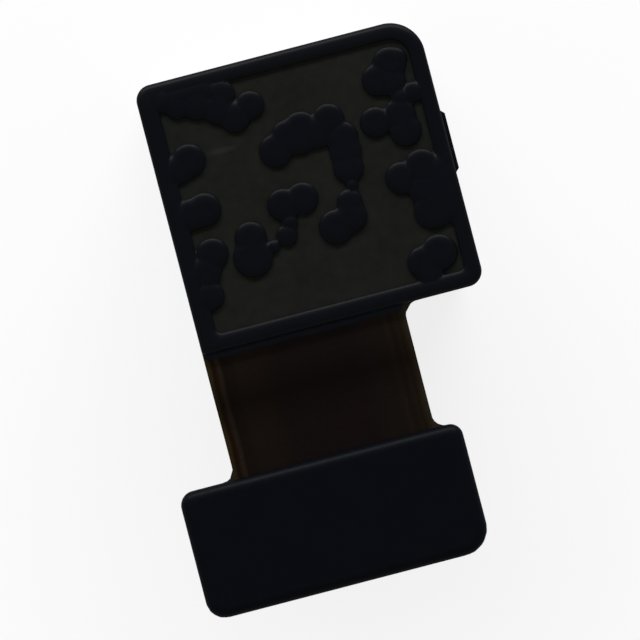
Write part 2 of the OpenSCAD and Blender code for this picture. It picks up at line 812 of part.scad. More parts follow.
module focus_coil() {
    on_axis() color([0.72, 0.4, 0.2]) translate([0, 0, coil_z]) linear_extrude(coil_h)
        difference() {
            octagon(hub_flat + slip_fit + coil_t);
            octagon(hub_flat + slip_fit);
        }
}

// ---- Lens ----

// The outline runs out along the front, back along the side and in over the five stepped seats
module barrel_profile() {
    aperture_land = 0.08;
    polygon(concat(
        [
            [aperture_r, seat_z(0)], [aperture_r, seat_z(0) - aperture_land],
            [flare_r, barrel_setback], [barrel_r - barrel_bevel, barrel_setback],
            [barrel_r, barrel_setback + barrel_bevel], [barrel_r, barrel_end_z - barrel_bevel / 2],
            [barrel_r - barrel_bevel / 2, barrel_end_z], [lens_r[4] + lens_fit, barrel_end_z]
        ],
        [for (i = [4:-1:0], end = [1, 0])
            [lens_r[i] + lens_fit, end == 1 && i == 4 ? stack_end_z : seat_z(i + end)]]
    ));
}

module lens_barrel() {
    on_axis() color([0.04, 0.04, 0.045]) difference() {
        rotate_extrude($fn = 96) barrel_profile();
        for (a = [45:90:315]) rotate(a)
            translate([barrel_r - notch_out, -notch_w / 2, barrel_setback - notch_h])
            cube([2 * notch_out, notch_w, 2 * notch_h]);
    }
}

// Height of a lens surface over its flange, at a share u of the clear radius
function sag(bulge, wave, u) = bulge * (1 - u * u) + wave * u * u * (1 - u * u);

module lens(i) {
    steps = 8;
    front = [for (k = [0:steps]) let (u = k / steps)
        [lens_clear_r[i] * u, -sag(lens_front_bulge[i], 0, u)]];
    back = [for (k = [steps:-1:0]) let (u = k / steps)
        [lens_clear_r[i] * u, lens_edge_t[i] + sag(lens_back_bulge[i], lens_back_wave[i], u)]];
    on_axis() color([0.7, 0.8, 0.85, 0.4]) translate([0, 0, seat_z(i)]) rotate_extrude($fn = 96)
        polygon(concat(front, [[lens_r[i], 0], [lens_r[i], lens_edge_t[i]]], back));
}

module lens_gasket(i) {
    on_axis() color([0.03, 0.03, 0.03]) translate([0, 0, seat_z(i) + lens_edge_t[i]]) difference() {
        cylinder(h = gasket_t[i], r = lens_r[i]);
        translate([0, 0, -1]) cylinder(h = 2, r = lens_clear_r[i] + gasket_play);
    }
}

module retaining_ring() {
    on_axis() color([0.05, 0.05, 0.05]) translate([0, 0, stack_end_z]) difference() {
        cylinder(h = ring_t, r = lens_r[4]);
        translate([0, 0, -1]) cylinder(h = 2, r = lens_clear_r[4] + gasket_play);
    }
}

// ---- Board-to-board plug ----

plug_z = tail_z - connector_board_t;

module at_plug() {
    translate([plug_x, plug_y, plug_z]) mirror([0, 0, 1]) children();
}

module plug_housing() {
    at_plug() color([0.08, 0.08, 0.08]) difference() {
        linear_extrude(plug_h) square([plug_l, plug_w], center = true);
        translate([0, 0, plug_floor]) linear_extrude(plug_h)
            square([plug_l - 2 * plug_end, plug_w - 2 * plug_wall], center = true);
    }
}

// A contact wraps a side wall: inner leg, bend over the rim, outer leg and solder foot
module contact_profile() {
    outer = plug_w / 2;
    inner = outer - plug_wall;
    translate([outer, 0]) square([contact_t, plug_h + contact_t]);
    translate([inner - contact_t, plug_h]) square([plug_wall + contact_t + tiny, contact_t]);
    translate([inner - contact_t, plug_floor]) square([contact_t, plug_h - plug_floor + tiny]);
    translate([outer, 0]) square([contact_t + foot_l, contact_t]);
}

module plug_contacts() {
    at_plug() color([0.85, 0.68, 0.3])
        for (side = [0, 180], i = [0:contacts_per_row - 1])
            rotate(side) translate([(i - (contacts_per_row - 1) / 2) * contact_pitch, 0, 0])
                rotate([90, 0, 90]) linear_extrude(contact_w, center = true) contact_profile();
}

module plug_hold_downs() {
    strap_w = plug_w - 2 * plug_wall;
    at_plug() color([0.8, 0.65, 0.3]) for (side = [0, 180]) rotate(side)
        translate([plug_l / 2, 0, 0]) rotate([90, 0, 0]) linear_extrude(strap_w, center = true) {
            square([contact_t, plug_h + contact_t]);
            square([contact_t + foot_l, contact_t]);
            translate([-plug_end, plug_h]) square([plug_end + contact_t, contact_t]);
        }
}

rear_frame();
back_plate();
neck_bead();
flex_circuit();
head_board();
image_sensor();
bond_wires();
chip_capacitors();
focus_driver();
memory_chip();
sensor_holder();
ir_filter();
actuator_base();
rear_springs();
lens_carrier();
focus_coil();
for (i = [1:4]) magnet(i);
front_spring();
spring_spacer();
actuator_can();
coil_terminals();
terminal_solder();
lens_barrel();
for (i = [1:5]) lens(i - 1);
for (i = [1:4]) lens_gasket(i - 1);
retaining_ring();
connector_board();
plug_housing();
plug_contacts();
plug_hold_downs();
connector_stiffener();
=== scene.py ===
"""Looks of an autofocus camera module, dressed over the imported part.

The part lies lens down in its own frame: +Z is the back of the module, +Y the far end of the head and
-Y the connector end. Shapes are worked out in millimetres and the meshes are made in metres.
"""

import math
import random

import bmesh
import bpy
import numpy as np
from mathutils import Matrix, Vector


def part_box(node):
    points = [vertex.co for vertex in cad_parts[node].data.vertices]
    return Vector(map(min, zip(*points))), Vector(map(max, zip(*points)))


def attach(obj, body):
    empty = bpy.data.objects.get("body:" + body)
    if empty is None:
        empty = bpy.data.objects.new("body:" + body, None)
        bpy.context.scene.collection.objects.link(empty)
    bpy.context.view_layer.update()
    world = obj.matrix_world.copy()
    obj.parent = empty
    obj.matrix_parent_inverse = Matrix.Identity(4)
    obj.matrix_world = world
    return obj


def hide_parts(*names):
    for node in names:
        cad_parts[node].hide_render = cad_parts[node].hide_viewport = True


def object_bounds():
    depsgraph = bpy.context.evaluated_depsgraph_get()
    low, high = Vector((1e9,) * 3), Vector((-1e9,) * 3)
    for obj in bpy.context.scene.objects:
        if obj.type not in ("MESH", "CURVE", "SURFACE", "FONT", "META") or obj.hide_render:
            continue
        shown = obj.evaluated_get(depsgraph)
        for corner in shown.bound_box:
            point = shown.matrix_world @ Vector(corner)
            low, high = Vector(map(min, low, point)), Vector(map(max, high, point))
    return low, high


MM = 0.001

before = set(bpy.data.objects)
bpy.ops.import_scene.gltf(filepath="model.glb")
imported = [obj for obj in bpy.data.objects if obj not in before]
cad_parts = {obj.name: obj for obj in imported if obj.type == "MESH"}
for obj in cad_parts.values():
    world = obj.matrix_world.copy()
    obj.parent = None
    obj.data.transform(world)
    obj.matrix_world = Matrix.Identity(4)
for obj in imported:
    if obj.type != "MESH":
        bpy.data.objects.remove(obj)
cad_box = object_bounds()
random.seed(7)


def box(name):
    """Lowest and highest corner of a CAD node, in millimetres."""
    return [np.array(corner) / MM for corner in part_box(name)]


# ---- Places and sizes from the part ----

head_lo, head_hi = box("rear_frame")
plate_lo, plate_hi = box("connector_stiffener")
steel_lo, steel_hi = box("back_plate")
bead_lo, bead_hi = box("neck_bead")
flex_lo, flex_hi = box("flex_circuit")
can_lo, can_hi = box("actuator_can")
barrel_lo, barrel_hi = box("lens_barrel")
coil_lo, coil_hi = box("focus_coil")
solder_lo, solder_hi = box("terminal_solder")

COVER_TOP = head_hi[2]
STEEL_TOP = steel_hi[2]
FLEX_TOP = steel_lo[2]
FLEX_T = FLEX_TOP - box("head_board")[1][2]
TAIL_Z = box("connector_board")[1][2]
AXIS = (can_lo[:2] + can_hi[:2]) / 2
NECK_LEFT, NECK_RIGHT = bead_lo[0], bead_hi[0]

# Sizes that the boxes don't give, as the part has them
HEAD_RADII = (0.15, 0.5, 1.1, 0.5)
PLATE_RADII = (0.6, 0.85, 0.4, 0.45)
FRAME_LEFT, FRAME_RIGHT, FRAME_FAR, FRAME_NEAR = 0.6, 0.5, 0.5, 0.55
WINDOW_RADII = (0.2, 0.2, 0.6, 0.2)
NECK_HEAD_FILLET = 0.45
NECK_PLATE_FILLET = 0.38
BEND_LEAD = 0.5
BEND_RUN = 2.4
CAN_R = 0.5
CAN_T = 0.15
CAN_EDGE_R = 0.14
TOOTH_W, TOOTH_H, TOOTH_PLACE = 0.9, 0.16, 2.2
RUNNING_GAP = 0.08
NOTCH_W, NOTCH_OUT, NOTCH_H = 0.6, 0.4, 0.22
COIL_T = 0.24

# Edges rounder than the part's
FRAME_EDGE_R = 0.22
STIFFENER_EDGE_R = 0.35

# Finer detail
HOLE_ROLL = 0.06
COIL_TURNS = 26
SOLDER_W = 0.5
CAPACITORS, CAPACITOR_PITCH, TINNED_END = 7, 0.95, 0.15
SENSOR_BORDER = 0.35
LAYER_T = 0.063

# Round lands by the left and far edges of the head: from that side, from the far edge, radius
LANDS_LEFT = [
    (0.8, 0.6, 0.35), (1.2, 0.85, 0.42), (1.5, 0.6, 0.3), (1.8, 0.95, 0.5), (2.2, 0.65, 0.35),
    (2.4, 1.25, 0.5), (2.6, 0.85, 0.45), (2.85, 1.65, 0.48), (3.4, 1.4, 0.45),
    (1.12, 2.6, 0.53), (0.75, 2.8, 0.45), (1.2, 4.2, 0.53), (0.75, 4.25, 0.5),
    (1.1, 5.6, 0.5), (0.75, 6.1, 0.5), (0.7, 6.85, 0.45),
    (3.82, 2.98, 0.52), (4.3, 2.65, 0.53), (4.75, 2.5, 0.53), (4.65, 2.82, 0.48), (5.2, 2.75, 0.5),
    (5.65, 2.45, 0.5), (5.93, 3.1, 0.5), (5.92, 3.55, 0.5), (5.88, 4.05, 0.48), (5.85, 4.6, 0.2),
    (5.65, 5.1, 0.4), (5.58, 5.55, 0.5), (5.05, 5.75, 0.54),
    (3.62, 4.66, 0.5), (4.25, 4.62, 0.5), (3.68, 5.25, 0.25), (3.5, 5.62, 0.33), (3.0, 5.85, 0.2),
    (2.38, 5.4, 0.5), (2.3, 6.02, 0.62),
]
# Round lands by the right and far edges; three lie a little off the part's, closer to the photo
LANDS_RIGHT = [
    (1.18, 1.24, 0.52), (0.9, 1.13, 0.3), (1.65, 1.65, 0.5), (1.25, 1.8, 0.45), (0.68, 2.28, 0.32),
    (1.1, 2.35, 0.3), (2.05, 2.9, 0.48), (1.25, 2.85, 0.5), (1.2, 3.38, 0.5), (1.7, 4.78, 0.5),
    (1.0, 4.6, 0.55), (1.1, 5.3, 0.5), (1.0, 6.0, 0.6),
]
# Round lands by the right and near edges
LANDS_NEAR_RIGHT = [(1.15, 1.27, 0.57), (1.7, 1.1, 0.5), (1.6, 0.75, 0.42)]
LAND_BAR_W, LAND_BAR_L, LAND_BAR_FROM_FAR = 1.1, 2.1, 4.4
LAND_BAR_RADII = (0.15, 0.15, 0.15, 0.15)
# Near left and far right corner of the fill, from the head's left and far edges
FILL_NEAR, FILL_FAR = (0.5, 0.85), (2.4, 0.2)


# ---- Material trees ----

class Tree:
    """The node tree of one material, with its Principled shader."""

    def __init__(self, name):
        self.material = bpy.data.materials.new(name)
        self.material.use_nodes = True
        self.nodes = self.material.node_tree.nodes
        self.shader = self.nodes["Principled BSDF"]
        self.object_space = self.add("ShaderNodeTexCoord").outputs["Object"]

    def add(self, kind, inputs=(), **settings):
        made = self.nodes.new(kind)
        for key, value in settings.items():
            setattr(made, key, value)
        for key, value in dict(inputs).items():
            self.feed(made.inputs[key], value)
        return made

    def feed(self, socket, value):
        """Links an output to a socket, or sets the socket's own value."""
        if isinstance(value, bpy.types.NodeSocket):
            self.material.node_tree.links.new(value, socket)
        else:
            socket.default_value = value

    def stretched(self, factors):
        """The object's coordinates, stretched along each axis."""
        mapped = self.add("ShaderNodeMapping", {"Vector": self.object_space})
        mapped.inputs["Scale"].default_value = factors
        return mapped.outputs["Vector"]

    def noise(self, size, detail=3.0, vector=None):
        """Noise whose lumps are about this many millimetres wide."""
        made = self.add("ShaderNodeTexNoise", {
            "Vector": vector or self.object_space, "Scale": 1 / (size * MM), "Detail": detail,
        })
        return made.outputs["Fac"]

    def ramp(self, source, stops):
        """A colour for each stop of the source's 0 to 1 range."""
        made = self.add("ShaderNodeValToRGB", {"Fac": source})
        elements = made.color_ramp.elements
        while len(elements) < len(stops):
            elements.new(0.5)
        for element, (place, colour) in zip(elements, stops):
            element.position = place
            element.color = (*colour, 1)
        return made.outputs["Color"]

    def span(self, source, low, high, to_low=0.0, to_high=1.0):
        """A value brought from one range to another, and kept inside it."""
        made = self.add("ShaderNodeMapRange", {
            "Value": source, "From Min": low, "From Max": high, "To Min": to_low, "To Max": to_high,
        })
        return made.outputs["Result"]

    def axis(self, name):
        """The object's own X, Y or Z, in millimetres."""
        parts = self.add("ShaderNodeSeparateXYZ", {"Vector": self.object_space})
        return self.math("MULTIPLY", parts.outputs[name], 1 / MM)

    def math(self, operation, first, second=0.0, third=0.0):
        made = self.add("ShaderNodeMath", operation=operation)
        for socket, value in zip(made.inputs, (first, second, third)):
            self.feed(socket, value)
        return made.outputs["Value"]

    def mixed(self, share, first, second, blend="MIX"):
        """Two colours mixed by a share."""
        made = self.add("ShaderNodeMix", data_type="RGBA", blend_type=blend)
        self.feed(made.inputs["Factor"], share)
        for socket, value in zip((made.inputs[6], made.inputs[7]), (first, second)):
            self.feed(socket, (*value, 1) if isinstance(value, tuple) else value)
        return made.outputs[2]

    def product(self, *colours):
        """Colours multiplied with each other."""
        result = colours[0]
        for colour in colours[1:]:
            result = self.mixed(1.0, result, colour, "MULTIPLY")
        return result

    def bump(self, height, depth):
        """A bump of this many millimetres."""
        made = self.add("ShaderNodeBump", {"Height": height, "Distance": depth * MM})
        return made.outputs["Normal"]

    def finish(self, **sockets):
        for key, value in sockets.items():
            self.feed(self.shader.inputs[key.replace("_", " ")], value)
        return self.material


def surface(name, tones, rough, grain, bump=0.0015, spread=0.08, **sockets):
    """A surface between two tones, whose grain also sets its gloss and its relief."""
    tree = Tree(name)
    fine = tree.noise(grain, 5.0)
    broad = tree.noise(grain * 12, 2.0)
    both = tree.math("ADD", tree.math("MULTIPLY", fine, 0.6), tree.math("MULTIPLY", broad, 0.4))
    return tree.finish(
        Base_Color=tree.ramp(both, [(0.3, tones[0]), (0.7, tones[1])]),
        Roughness=tree.span(fine, 0.25, 0.75, rough - spread, rough + spread),
        Normal=tree.bump(fine, bump),
        **sockets,
    )


def brushed(name, tones, rough, grain=0.03, **sockets):
    """A metal whose grain runs round its upright sides."""
    tree = Tree(name)
    streaks = tree.noise(grain, 4.0, tree.stretched((0.06, 0.06, 1.0)))
    clouds = tree.noise(1.5, 3.0)
    return tree.finish(
        Base_Color=tree.ramp(tree.math("MULTIPLY_ADD", clouds, 0.5, tree.math("MULTIPLY", streaks, 0.5)), [
            (0.3, tones[0]), (0.7, tones[1]),
        ]),
        Roughness=tree.span(streaks, 0.25, 0.75, rough - 0.08, rough + 0.1),
        Normal=tree.bump(streaks, 0.0015),
        Metallic=1.0,
        **sockets,
    )


WARM_GLOSS = (1.0, 0.94, 0.86, 1)
# How far the painted light reaches in from the cover's lit far edge, and the painted fill from its shaded
# near edge
FAR_PAINTED_LIGHT, NEAR_PAINTED_FILL = 0.7, 0.15
# A painted highlight on the plate, where a faint raised mark catches the light: from the head's left and far
# edges, and how tight it is each way
GLINT_FROM_LEFT, GLINT_FROM_FAR = 2.2, 2.55
GLINT_TIGHT = (1.8, 8.0)


def cover_resin():
    """Dark blue-grey moulded resin, with painted light: lighter and a little purple toward the lit far edge,
    and a lighter painted fill along the shaded near edge.
    """
    tree = Tree("cover_resin")
    fine = tree.noise(0.05, 5.0)
    broad = tree.noise(1.6, 2.0)
    base = tree.ramp(tree.math("MULTIPLY_ADD", fine, 0.4, tree.math("MULTIPLY", broad, 0.6)), [
        (0.3, (0.0002, 0.0008, 0.0023)), (0.7, (0.0006, 0.0013, 0.0030)),
    ])
    # Painted light: the base turns lighter and bluer toward the far edge, where the lamp lights the rounded
    # rim
    far = tree.span(tree.axis("Y"), head_hi[1] - FAR_PAINTED_LIGHT, head_hi[1])
    # Painted fill: the base turns lighter along the near edge, which lies in shade
    near = tree.span(tree.axis("Y"), head_lo[1], head_lo[1] + NEAR_PAINTED_FILL, 1.0, 0.0)
    painted_far_light = tree.mixed(far, base, (0.0028, 0.0034, 0.0054))
    return tree.finish(
        Base_Color=tree.mixed(near, painted_far_light, (0.0030, 0.0036, 0.0052)),
        Roughness=tree.span(fine, 0.25, 0.75, 0.34, 0.43),
        Normal=tree.bump(fine, 0.0008),
        Specular_IOR_Level=0.046,
        Specular_Tint=WARM_GLOSS,
    )


def plate_steel():
    """Dull olive-grey sheet with a fine grain and a faint painted highlight of a raised mark."""
    tree = Tree("plate_steel")
    fine = tree.noise(0.04, 6.0)
    broad = tree.noise(2.4, 3.0)
    mottle = tree.noise(0.35, 4.0)
    base = tree.ramp(tree.math("MULTIPLY_ADD", broad, 0.5, tree.math("MULTIPLY", mottle, 0.5)), [
        (0.3, (0.0066, 0.0068, 0.0056)), (0.5, (0.0088, 0.0090, 0.0076)), (0.7, (0.0110, 0.0110, 0.0096)),
    ])
    # Painted highlight: a lighter patch where a faint raised mark would catch the light
    glint_x = tree.math("SUBTRACT", tree.axis("X"), head_lo[0] + GLINT_FROM_LEFT)
    glint_y = tree.math("SUBTRACT", tree.axis("Y"), head_hi[1] - GLINT_FROM_FAR)
    squared = tree.math("ADD", tree.math("POWER", tree.math("MULTIPLY", glint_x, GLINT_TIGHT[0]), 2.0),
                        tree.math("POWER", tree.math("MULTIPLY", glint_y, GLINT_TIGHT[1]), 2.0))
    painted_glint = tree.span(squared, 0.0, 1.0, 0.6, 0.0)
    return tree.finish(
        Base_Color=tree.mixed(painted_glint, base, (0.0190, 0.0190, 0.0165)),
        Roughness=tree.span(fine, 0.25, 0.75, 0.5, 0.66),
        Normal=tree.bump(fine, 0.0015),
        Specular_IOR_Level=0.022,
    )


# Across the neck, in millimetres from its left edge: where each tone of the coverlay stands
NECK_TONES = [
    (0.00, (0.0140, 0.0110, 0.0060)), (0.10, (0.0135, 0.0095, 0.0040)), (0.18, (0.0054, 0.0023, 0.0006)),
    (0.27, (0.0068, 0.0034, 0.0018)), (0.34, (0.0112, 0.0080, 0.0054)), (0.40, (0.0104, 0.0074, 0.0050)),
    (0.47, (0.0044, 0.0028, 0.0018)), (0.70, (0.0046, 0.0030, 0.0022)), (0.90, (0.0058, 0.0040, 0.0029)),
    (1.50, (0.0058, 0.0038, 0.0027)), (2.20, (0.0042, 0.0028, 0.0025)), (4.50, (0.0041, 0.0028, 0.0025)),
    (5.20, (0.0053, 0.0037, 0.0031)), (5.60, (0.0054, 0.0038, 0.0026)), (5.76, (0.0072, 0.0048, 0.0034)),
    (5.92, (0.0052, 0.0034, 0.0024)), (6.10, (0.0072, 0.0050, 0.0032)), (6.20, (0.0060, 0.0040, 0.0016)),
    (6.45, (0.0170, 0.0136, 0.0080)),
]
# Along it, from the head's edge: how much the coverlay's colour is lifted, a painted fill against the head's
# shadow and the darker slope of the bend
NECK_PAINTED_FILL = [
    (0.0, 1.55), (0.3, 1.5), (0.7, 1.12), (1.3, 1.1), (1.9, 1.2), (2.5, 1.06), (3.2, 0.96), (4.2, 0.98),
]


def polyimide():
    """Dark brown coverlay over copper, amber where only the film is left along the edges."""
    tree = Tree("polyimide")
    width = NECK_RIGHT - NECK_LEFT
    wander = tree.math("MULTIPLY_ADD", tree.noise(0.9, 3.0), 0.14, -0.07)
    across = tree.math("ADD", tree.math("SUBTRACT", tree.axis("X"), NECK_LEFT), wander)
    share = tree.span(across, 0.0, width)
    tones = tree.ramp(share, [(place / width, tone) for place, tone in NECK_TONES])
    length = NECK_PAINTED_FILL[-1][0]
    along = tree.span(tree.math("SUBTRACT", head_lo[1], tree.axis("Y")), 0.0, length)
    # Painted fill: the colour is lifted where the head's shadow and the bend's slope would darken the neck
    light = tree.ramp(along, [(place / length, (level / 2,) * 3) for place, level in NECK_PAINTED_FILL])
    stretch = tree.stretched((1.0, 0.35, 1.0))
    blotch = tree.span(tree.noise(0.7, 3.0, stretch), 0.35, 0.7)
    rust = tree.mixed(blotch, (1.94, 1.96, 1.98), (2.30, 2.08, 1.96))
    fine = tree.noise(0.06, 4.0)
    grain = tree.ramp(fine, [(0.3, (0.82, 0.82, 0.82)), (0.7, (1.15, 1.15, 1.15))])
    return tree.finish(
        Base_Color=tree.product(tones, light, rust, grain),
        Roughness=tree.span(fine, 0.25, 0.75, 0.38, 0.52),
        Normal=tree.bump(fine, 0.0012),
        Specular_IOR_Level=0.02,
    )


def layered_board():
    """Dark solder mask on the faces, with the layers of glass cloth and copper along the cut edge."""
    tree = Tree("layered_board")
    fine = tree.noise(0.05, 5.0)
    face = tree.ramp(fine, [(0.3, (0.0010, 0.0017, 0.0028)), (0.7, (0.0018, 0.0026, 0.0038))])
    layer = tree.math("PINGPONG", tree.axis("Z"), LAYER_T / 2)
    edge = tree.ramp(tree.span(layer, 0.0, LAYER_T / 2), [
        (0.0, (0.20, 0.085, 0.030)), (0.25, (0.16, 0.070, 0.026)), (0.35, (0.050, 0.052, 0.022)),
        (1.0, (0.075, 0.078, 0.036)),
    ])
    normal = tree.add("ShaderNodeNewGeometry").outputs["True Normal"]
    upright = tree.add("ShaderNodeSeparateXYZ", {"Vector": normal}).outputs["Z"]
    on_edge = tree.span(tree.math("ABSOLUTE", upright), 0.3, 0.6, 1.0, 0.0)
    return tree.finish(
        Base_Color=tree.mixed(on_edge, face, edge),
        Roughness=tree.span(fine, 0.25, 0.75, 0.34, 0.46),
        Normal=tree.bump(fine, 0.0015),
        Specular_IOR_Level=0.04,
    )


def capacitor_ceramic():
    """Tan ceramic bodies with tinned ends."""
    pitch = CAPACITOR_PITCH
    body = box("chip_capacitors")
    half = (body[1][0] - body[0][0] - (CAPACITORS - 1) * pitch) / 2
    tree = Tree("capacitor_ceramic")
    centre = (body[0][0] + body[1][0]) / 2
    place = tree.math("ADD", tree.math("SUBTRACT", tree.axis("X"), centre), 10 * pitch + pitch / 2)
    from_middle = tree.math("ABSOLUTE", tree.math("SUBTRACT", tree.math("MODULO", place, pitch), pitch / 2))
    tinned = tree.math("GREATER_THAN", from_middle, half - TINNED_END)
    fine = tree.noise(0.03, 4.0)
    ceramic = tree.ramp(fine, [(0.3, (0.20, 0.125, 0.065)), (0.7, (0.28, 0.18, 0.10))])
    tin = tree.ramp(fine, [(0.3, (0.48, 0.48, 0.47)), (0.7, (0.62, 0.62, 0.61))])
    return tree.finish(
        Base_Color=tree.mixed(tinned, ceramic, tin),
        Metallic=tinned,
        Roughness=tree.span(fine, 0.25, 0.75, 0.30, 0.45),
        Normal=tree.bump(fine, 0.001),
    )


def sensor_silicon():
    """Image sensor: a pixel field with a painted iridescent sheen, inside a plain grey border."""
    low, high = box("image_sensor")
    tree = Tree("sensor_silicon")
    middle = (low + high) / 2
    from_side = tree.math("ABSOLUTE", tree.math("SUBTRACT", tree.axis("X"), float(middle[0])))
    from_end = tree.math("ABSOLUTE", tree.math("SUBTRACT", tree.axis("Y"), float(middle[1])))
    inside = tree.math(
        "MINIMUM",
        tree.math("LESS_THAN", from_side, float(high[0] - middle[0]) - SENSOR_BORDER),
        tree.math("LESS_THAN", from_end, float(high[1] - middle[1]) - SENSOR_BORDER),
    )
    # Painted sheen: the colour bands across the pixel field stand in for its iridescent reflection
    slant = tree.math("MULTIPLY_ADD", tree.axis("X"), 0.6, tree.axis("Y"))
    painted_sheen_place = tree.span(tree.math("SUBTRACT", slant, float(middle[1])), -3.0, 3.0)
    film = tree.ramp(painted_sheen_place, [
        (0.0, (0.035, 0.050, 0.085)), (0.3, (0.070, 0.035, 0.080)), (0.6, (0.025, 0.080, 0.055)),
        (1.0, (0.10, 0.070, 0.030)),
    ])
    fine = tree.noise(0.02, 3.0)
    plain = tree.ramp(fine, [(0.3, (0.10, 0.11, 0.12)), (0.7, (0.14, 0.145, 0.155))])
    return tree.finish(
        Base_Color=tree.mixed(inside, plain, film),
        Metallic=0.6,
        Roughness=tree.span(fine, 0.25, 0.75, 0.12, 0.22),
        Normal=tree.bump(fine, 0.0003),
    )


def coated_glass(name, tint, sheen):
    """Clear glass with a coloured anti-reflection coat."""
    tree = Tree(name)
    haze = tree.noise(0.8, 2.0)
    return tree.finish(
        Base_Color=tree.ramp(haze, [(0.3, tint), (0.7, tuple(0.97 * c for c in tint))]),
        Roughness=tree.span(haze, 0.2, 0.8, 0.02, 0.04),
        Transmission_Weight=1.0,
        IOR=1.53,
        Specular_Tint=(*sheen, 1),
        Coat_Weight=0.4,
        Coat_Roughness=0.03,
        Coat_Tint=(*sheen, 1),
    )


def winding():
    """Enamelled copper wire with a mottled tone; any darkening in the grooves between the turns comes from
    the coil's ridged shape.
    """
    tree = Tree("winding")
    fine = tree.noise(0.02, 3.0, tree.stretched((1.0, 1.0, 0.3)))
    return tree.finish(
        Base_Color=tree.ramp(fine, [(0.3, (0.34, 0.100, 0.028)), (0.7, (0.52, 0.19, 0.060))]),
        Metallic=0.85,
        Roughness=tree.span(fine, 0.25, 0.75, 0.24, 0.36),
        Normal=tree.bump(fine, 0.001),
        Coat_Weight=0.5,
    )


MATERIALS = {
    "cover_resin": cover_resin(),
    "plate_steel": plate_steel(),
    "epoxy": surface("epoxy", ((0.0042, 0.0050, 0.0074), (0.0062, 0.0068, 0.0094)), 0.45, 0.12,
                     Specular_IOR_Level=0.03),
    "polyimide": polyimide(),
    "board": layered_board(),
    "silicon": sensor_silicon(),
    "gold": surface("gold", ((0.62, 0.40, 0.13), (0.76, 0.53, 0.20)), 0.28, 0.03, 0.001, Metallic=1.0),
    "ceramic": capacitor_ceramic(),
    "chip": surface("chip", ((0.010, 0.010, 0.011), (0.018, 0.018, 0.019)), 0.5, 0.03,
                    Specular_IOR_Level=0.4),
    "holder": surface("holder", ((0.0060, 0.0060, 0.0065), (0.0110, 0.0110, 0.0118)), 0.52, 0.06, 0.003,
                      Specular_IOR_Level=0.3),
    "base": surface("base", ((0.0090, 0.0090, 0.0096), (0.0150, 0.0150, 0.0155)), 0.46, 0.05, 0.002,
                    Specular_IOR_Level=0.35),
    "filter": coated_glass("filter", (0.62, 0.86, 0.90), (0.9, 0.45, 0.5)),
    "spring": surface("spring", ((0.50, 0.33, 0.16), (0.62, 0.43, 0.23)), 0.3, 0.04, 0.001, Metallic=1.0),
    "carrier": surface("carrier", ((0.012, 0.012, 0.013), (0.022, 0.022, 0.023)), 0.42, 0.05, 0.002,
                       Specular_IOR_Level=0.4),
    "winding": winding(),
    "magnet": surface("magnet", ((0.36, 0.36, 0.37), (0.48, 0.48, 0.49)), 0.26, 0.06, 0.0015, Metallic=1.0),
    "can": brushed("can", ((0.24, 0.24, 0.25), (0.34, 0.34, 0.35)), 0.34),
    "solder": surface("solder", ((0.55, 0.55, 0.56), (0.70, 0.70, 0.70)), 0.22, 0.08, 0.004, Metallic=1.0),
    "barrel": surface("barrel", ((0.0050, 0.0050, 0.0055), (0.0090, 0.0090, 0.0096)), 0.55, 0.035, 0.0025,
                      Specular_IOR_Level=0.25),
    "front_glass": coated_glass("front_glass", (0.93, 0.97, 0.98), (0.62, 0.42, 0.95)),
    "inner_glass": coated_glass("inner_glass", (0.94, 0.98, 0.97), (0.45, 0.85, 0.6)),
    "plug": surface("plug", ((0.010, 0.010, 0.0105), (0.017, 0.017, 0.0175)), 0.48, 0.04, 0.002,
                    Specular_IOR_Level=0.35),
    "stiffener": surface("stiffener", ((0.0008, 0.0014, 0.0029), (0.0012, 0.0018, 0.0035)), 0.40, 0.09,
                         0.0008, 0.05, Specular_IOR_Level=0.03, Specular_Tint=WARM_GLOSS),
}


# ---- Mesh helpers ----

def add_piece(name, verts, faces, body, nodes, slot, material, normals=None, sharp=35):
    """A new mesh that stands for CAD nodes, in millimetres, with its own normals or a sharpening angle."""
    mesh = bpy.data.meshes.new(name)
    mesh.from_pydata([Vector(v) * MM for v in verts], [], faces)
    mesh.validate()
    mesh.shade_smooth()
    if normals is None:
        mesh.set_sharp_from_angle(angle=math.radians(sharp))
    else:
        mesh.normals_split_custom_set_from_vertices(normals)
    made = bpy.data.objects.new(name, mesh)
    bpy.context.scene.collection.objects.link(made)
    made.data.materials.append(MATERIALS[material])
    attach(made, body)
    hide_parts(*nodes)
    return made


def loft(rings, closed=False):
    """Points and faces of a tube through equal rings, which ends open or joins its first ring."""
    count = len(rings[0])
    verts = [point for ring in rings for point in ring]
    faces = []
    for i in range(len(rings) if closed else len(rings) - 1):
        here, there = i * count, (i + 1) % len(rings) * count
        for j in range(count):
            k = (j + 1) % count
            faces.append((here + j, here + k, there + k, there + j))
    return verts, faces


def lathe(name, profile, segments, **piece):
    """A turned piece on the lens axis from a closed outline of [radius, z], or one that ends on the axis."""
    angles = [2 * math.pi * i / segments for i in range(segments)]
    rings = [
        [(AXIS[0] + r * math.cos(a), AXIS[1] + r * math.sin(a), z) for a in angles]
        for r, z in profile
    ]
    on_axis = profile[0][0] == 0
    if on_axis:
        rings = rings[1:-1]
    verts, faces = loft(rings, closed=not on_axis)
    if on_axis:
        first, last = len(verts), len(verts) + 1
        verts += [(*AXIS, profile[0][1]), (*AXIS, profile[-1][1])]
        end = (len(rings) - 1) * segments
        for j in range(segments):
            k = (j + 1) % segments
            faces.append((first, k, j))
            faces.append((last, end + j, end + k))
    return add_piece(name, verts, faces, **piece)


def gradient(field, x, y, step=0.002):
    """Unit direction in which a field grows."""
    gx = field(x + step, y) - field(x - step, y)
    gy = field(x, y + step) - field(x, y - step)
    size = np.maximum(np.hypot(gx, gy), 1e-9)
    return gx / size, gy / size


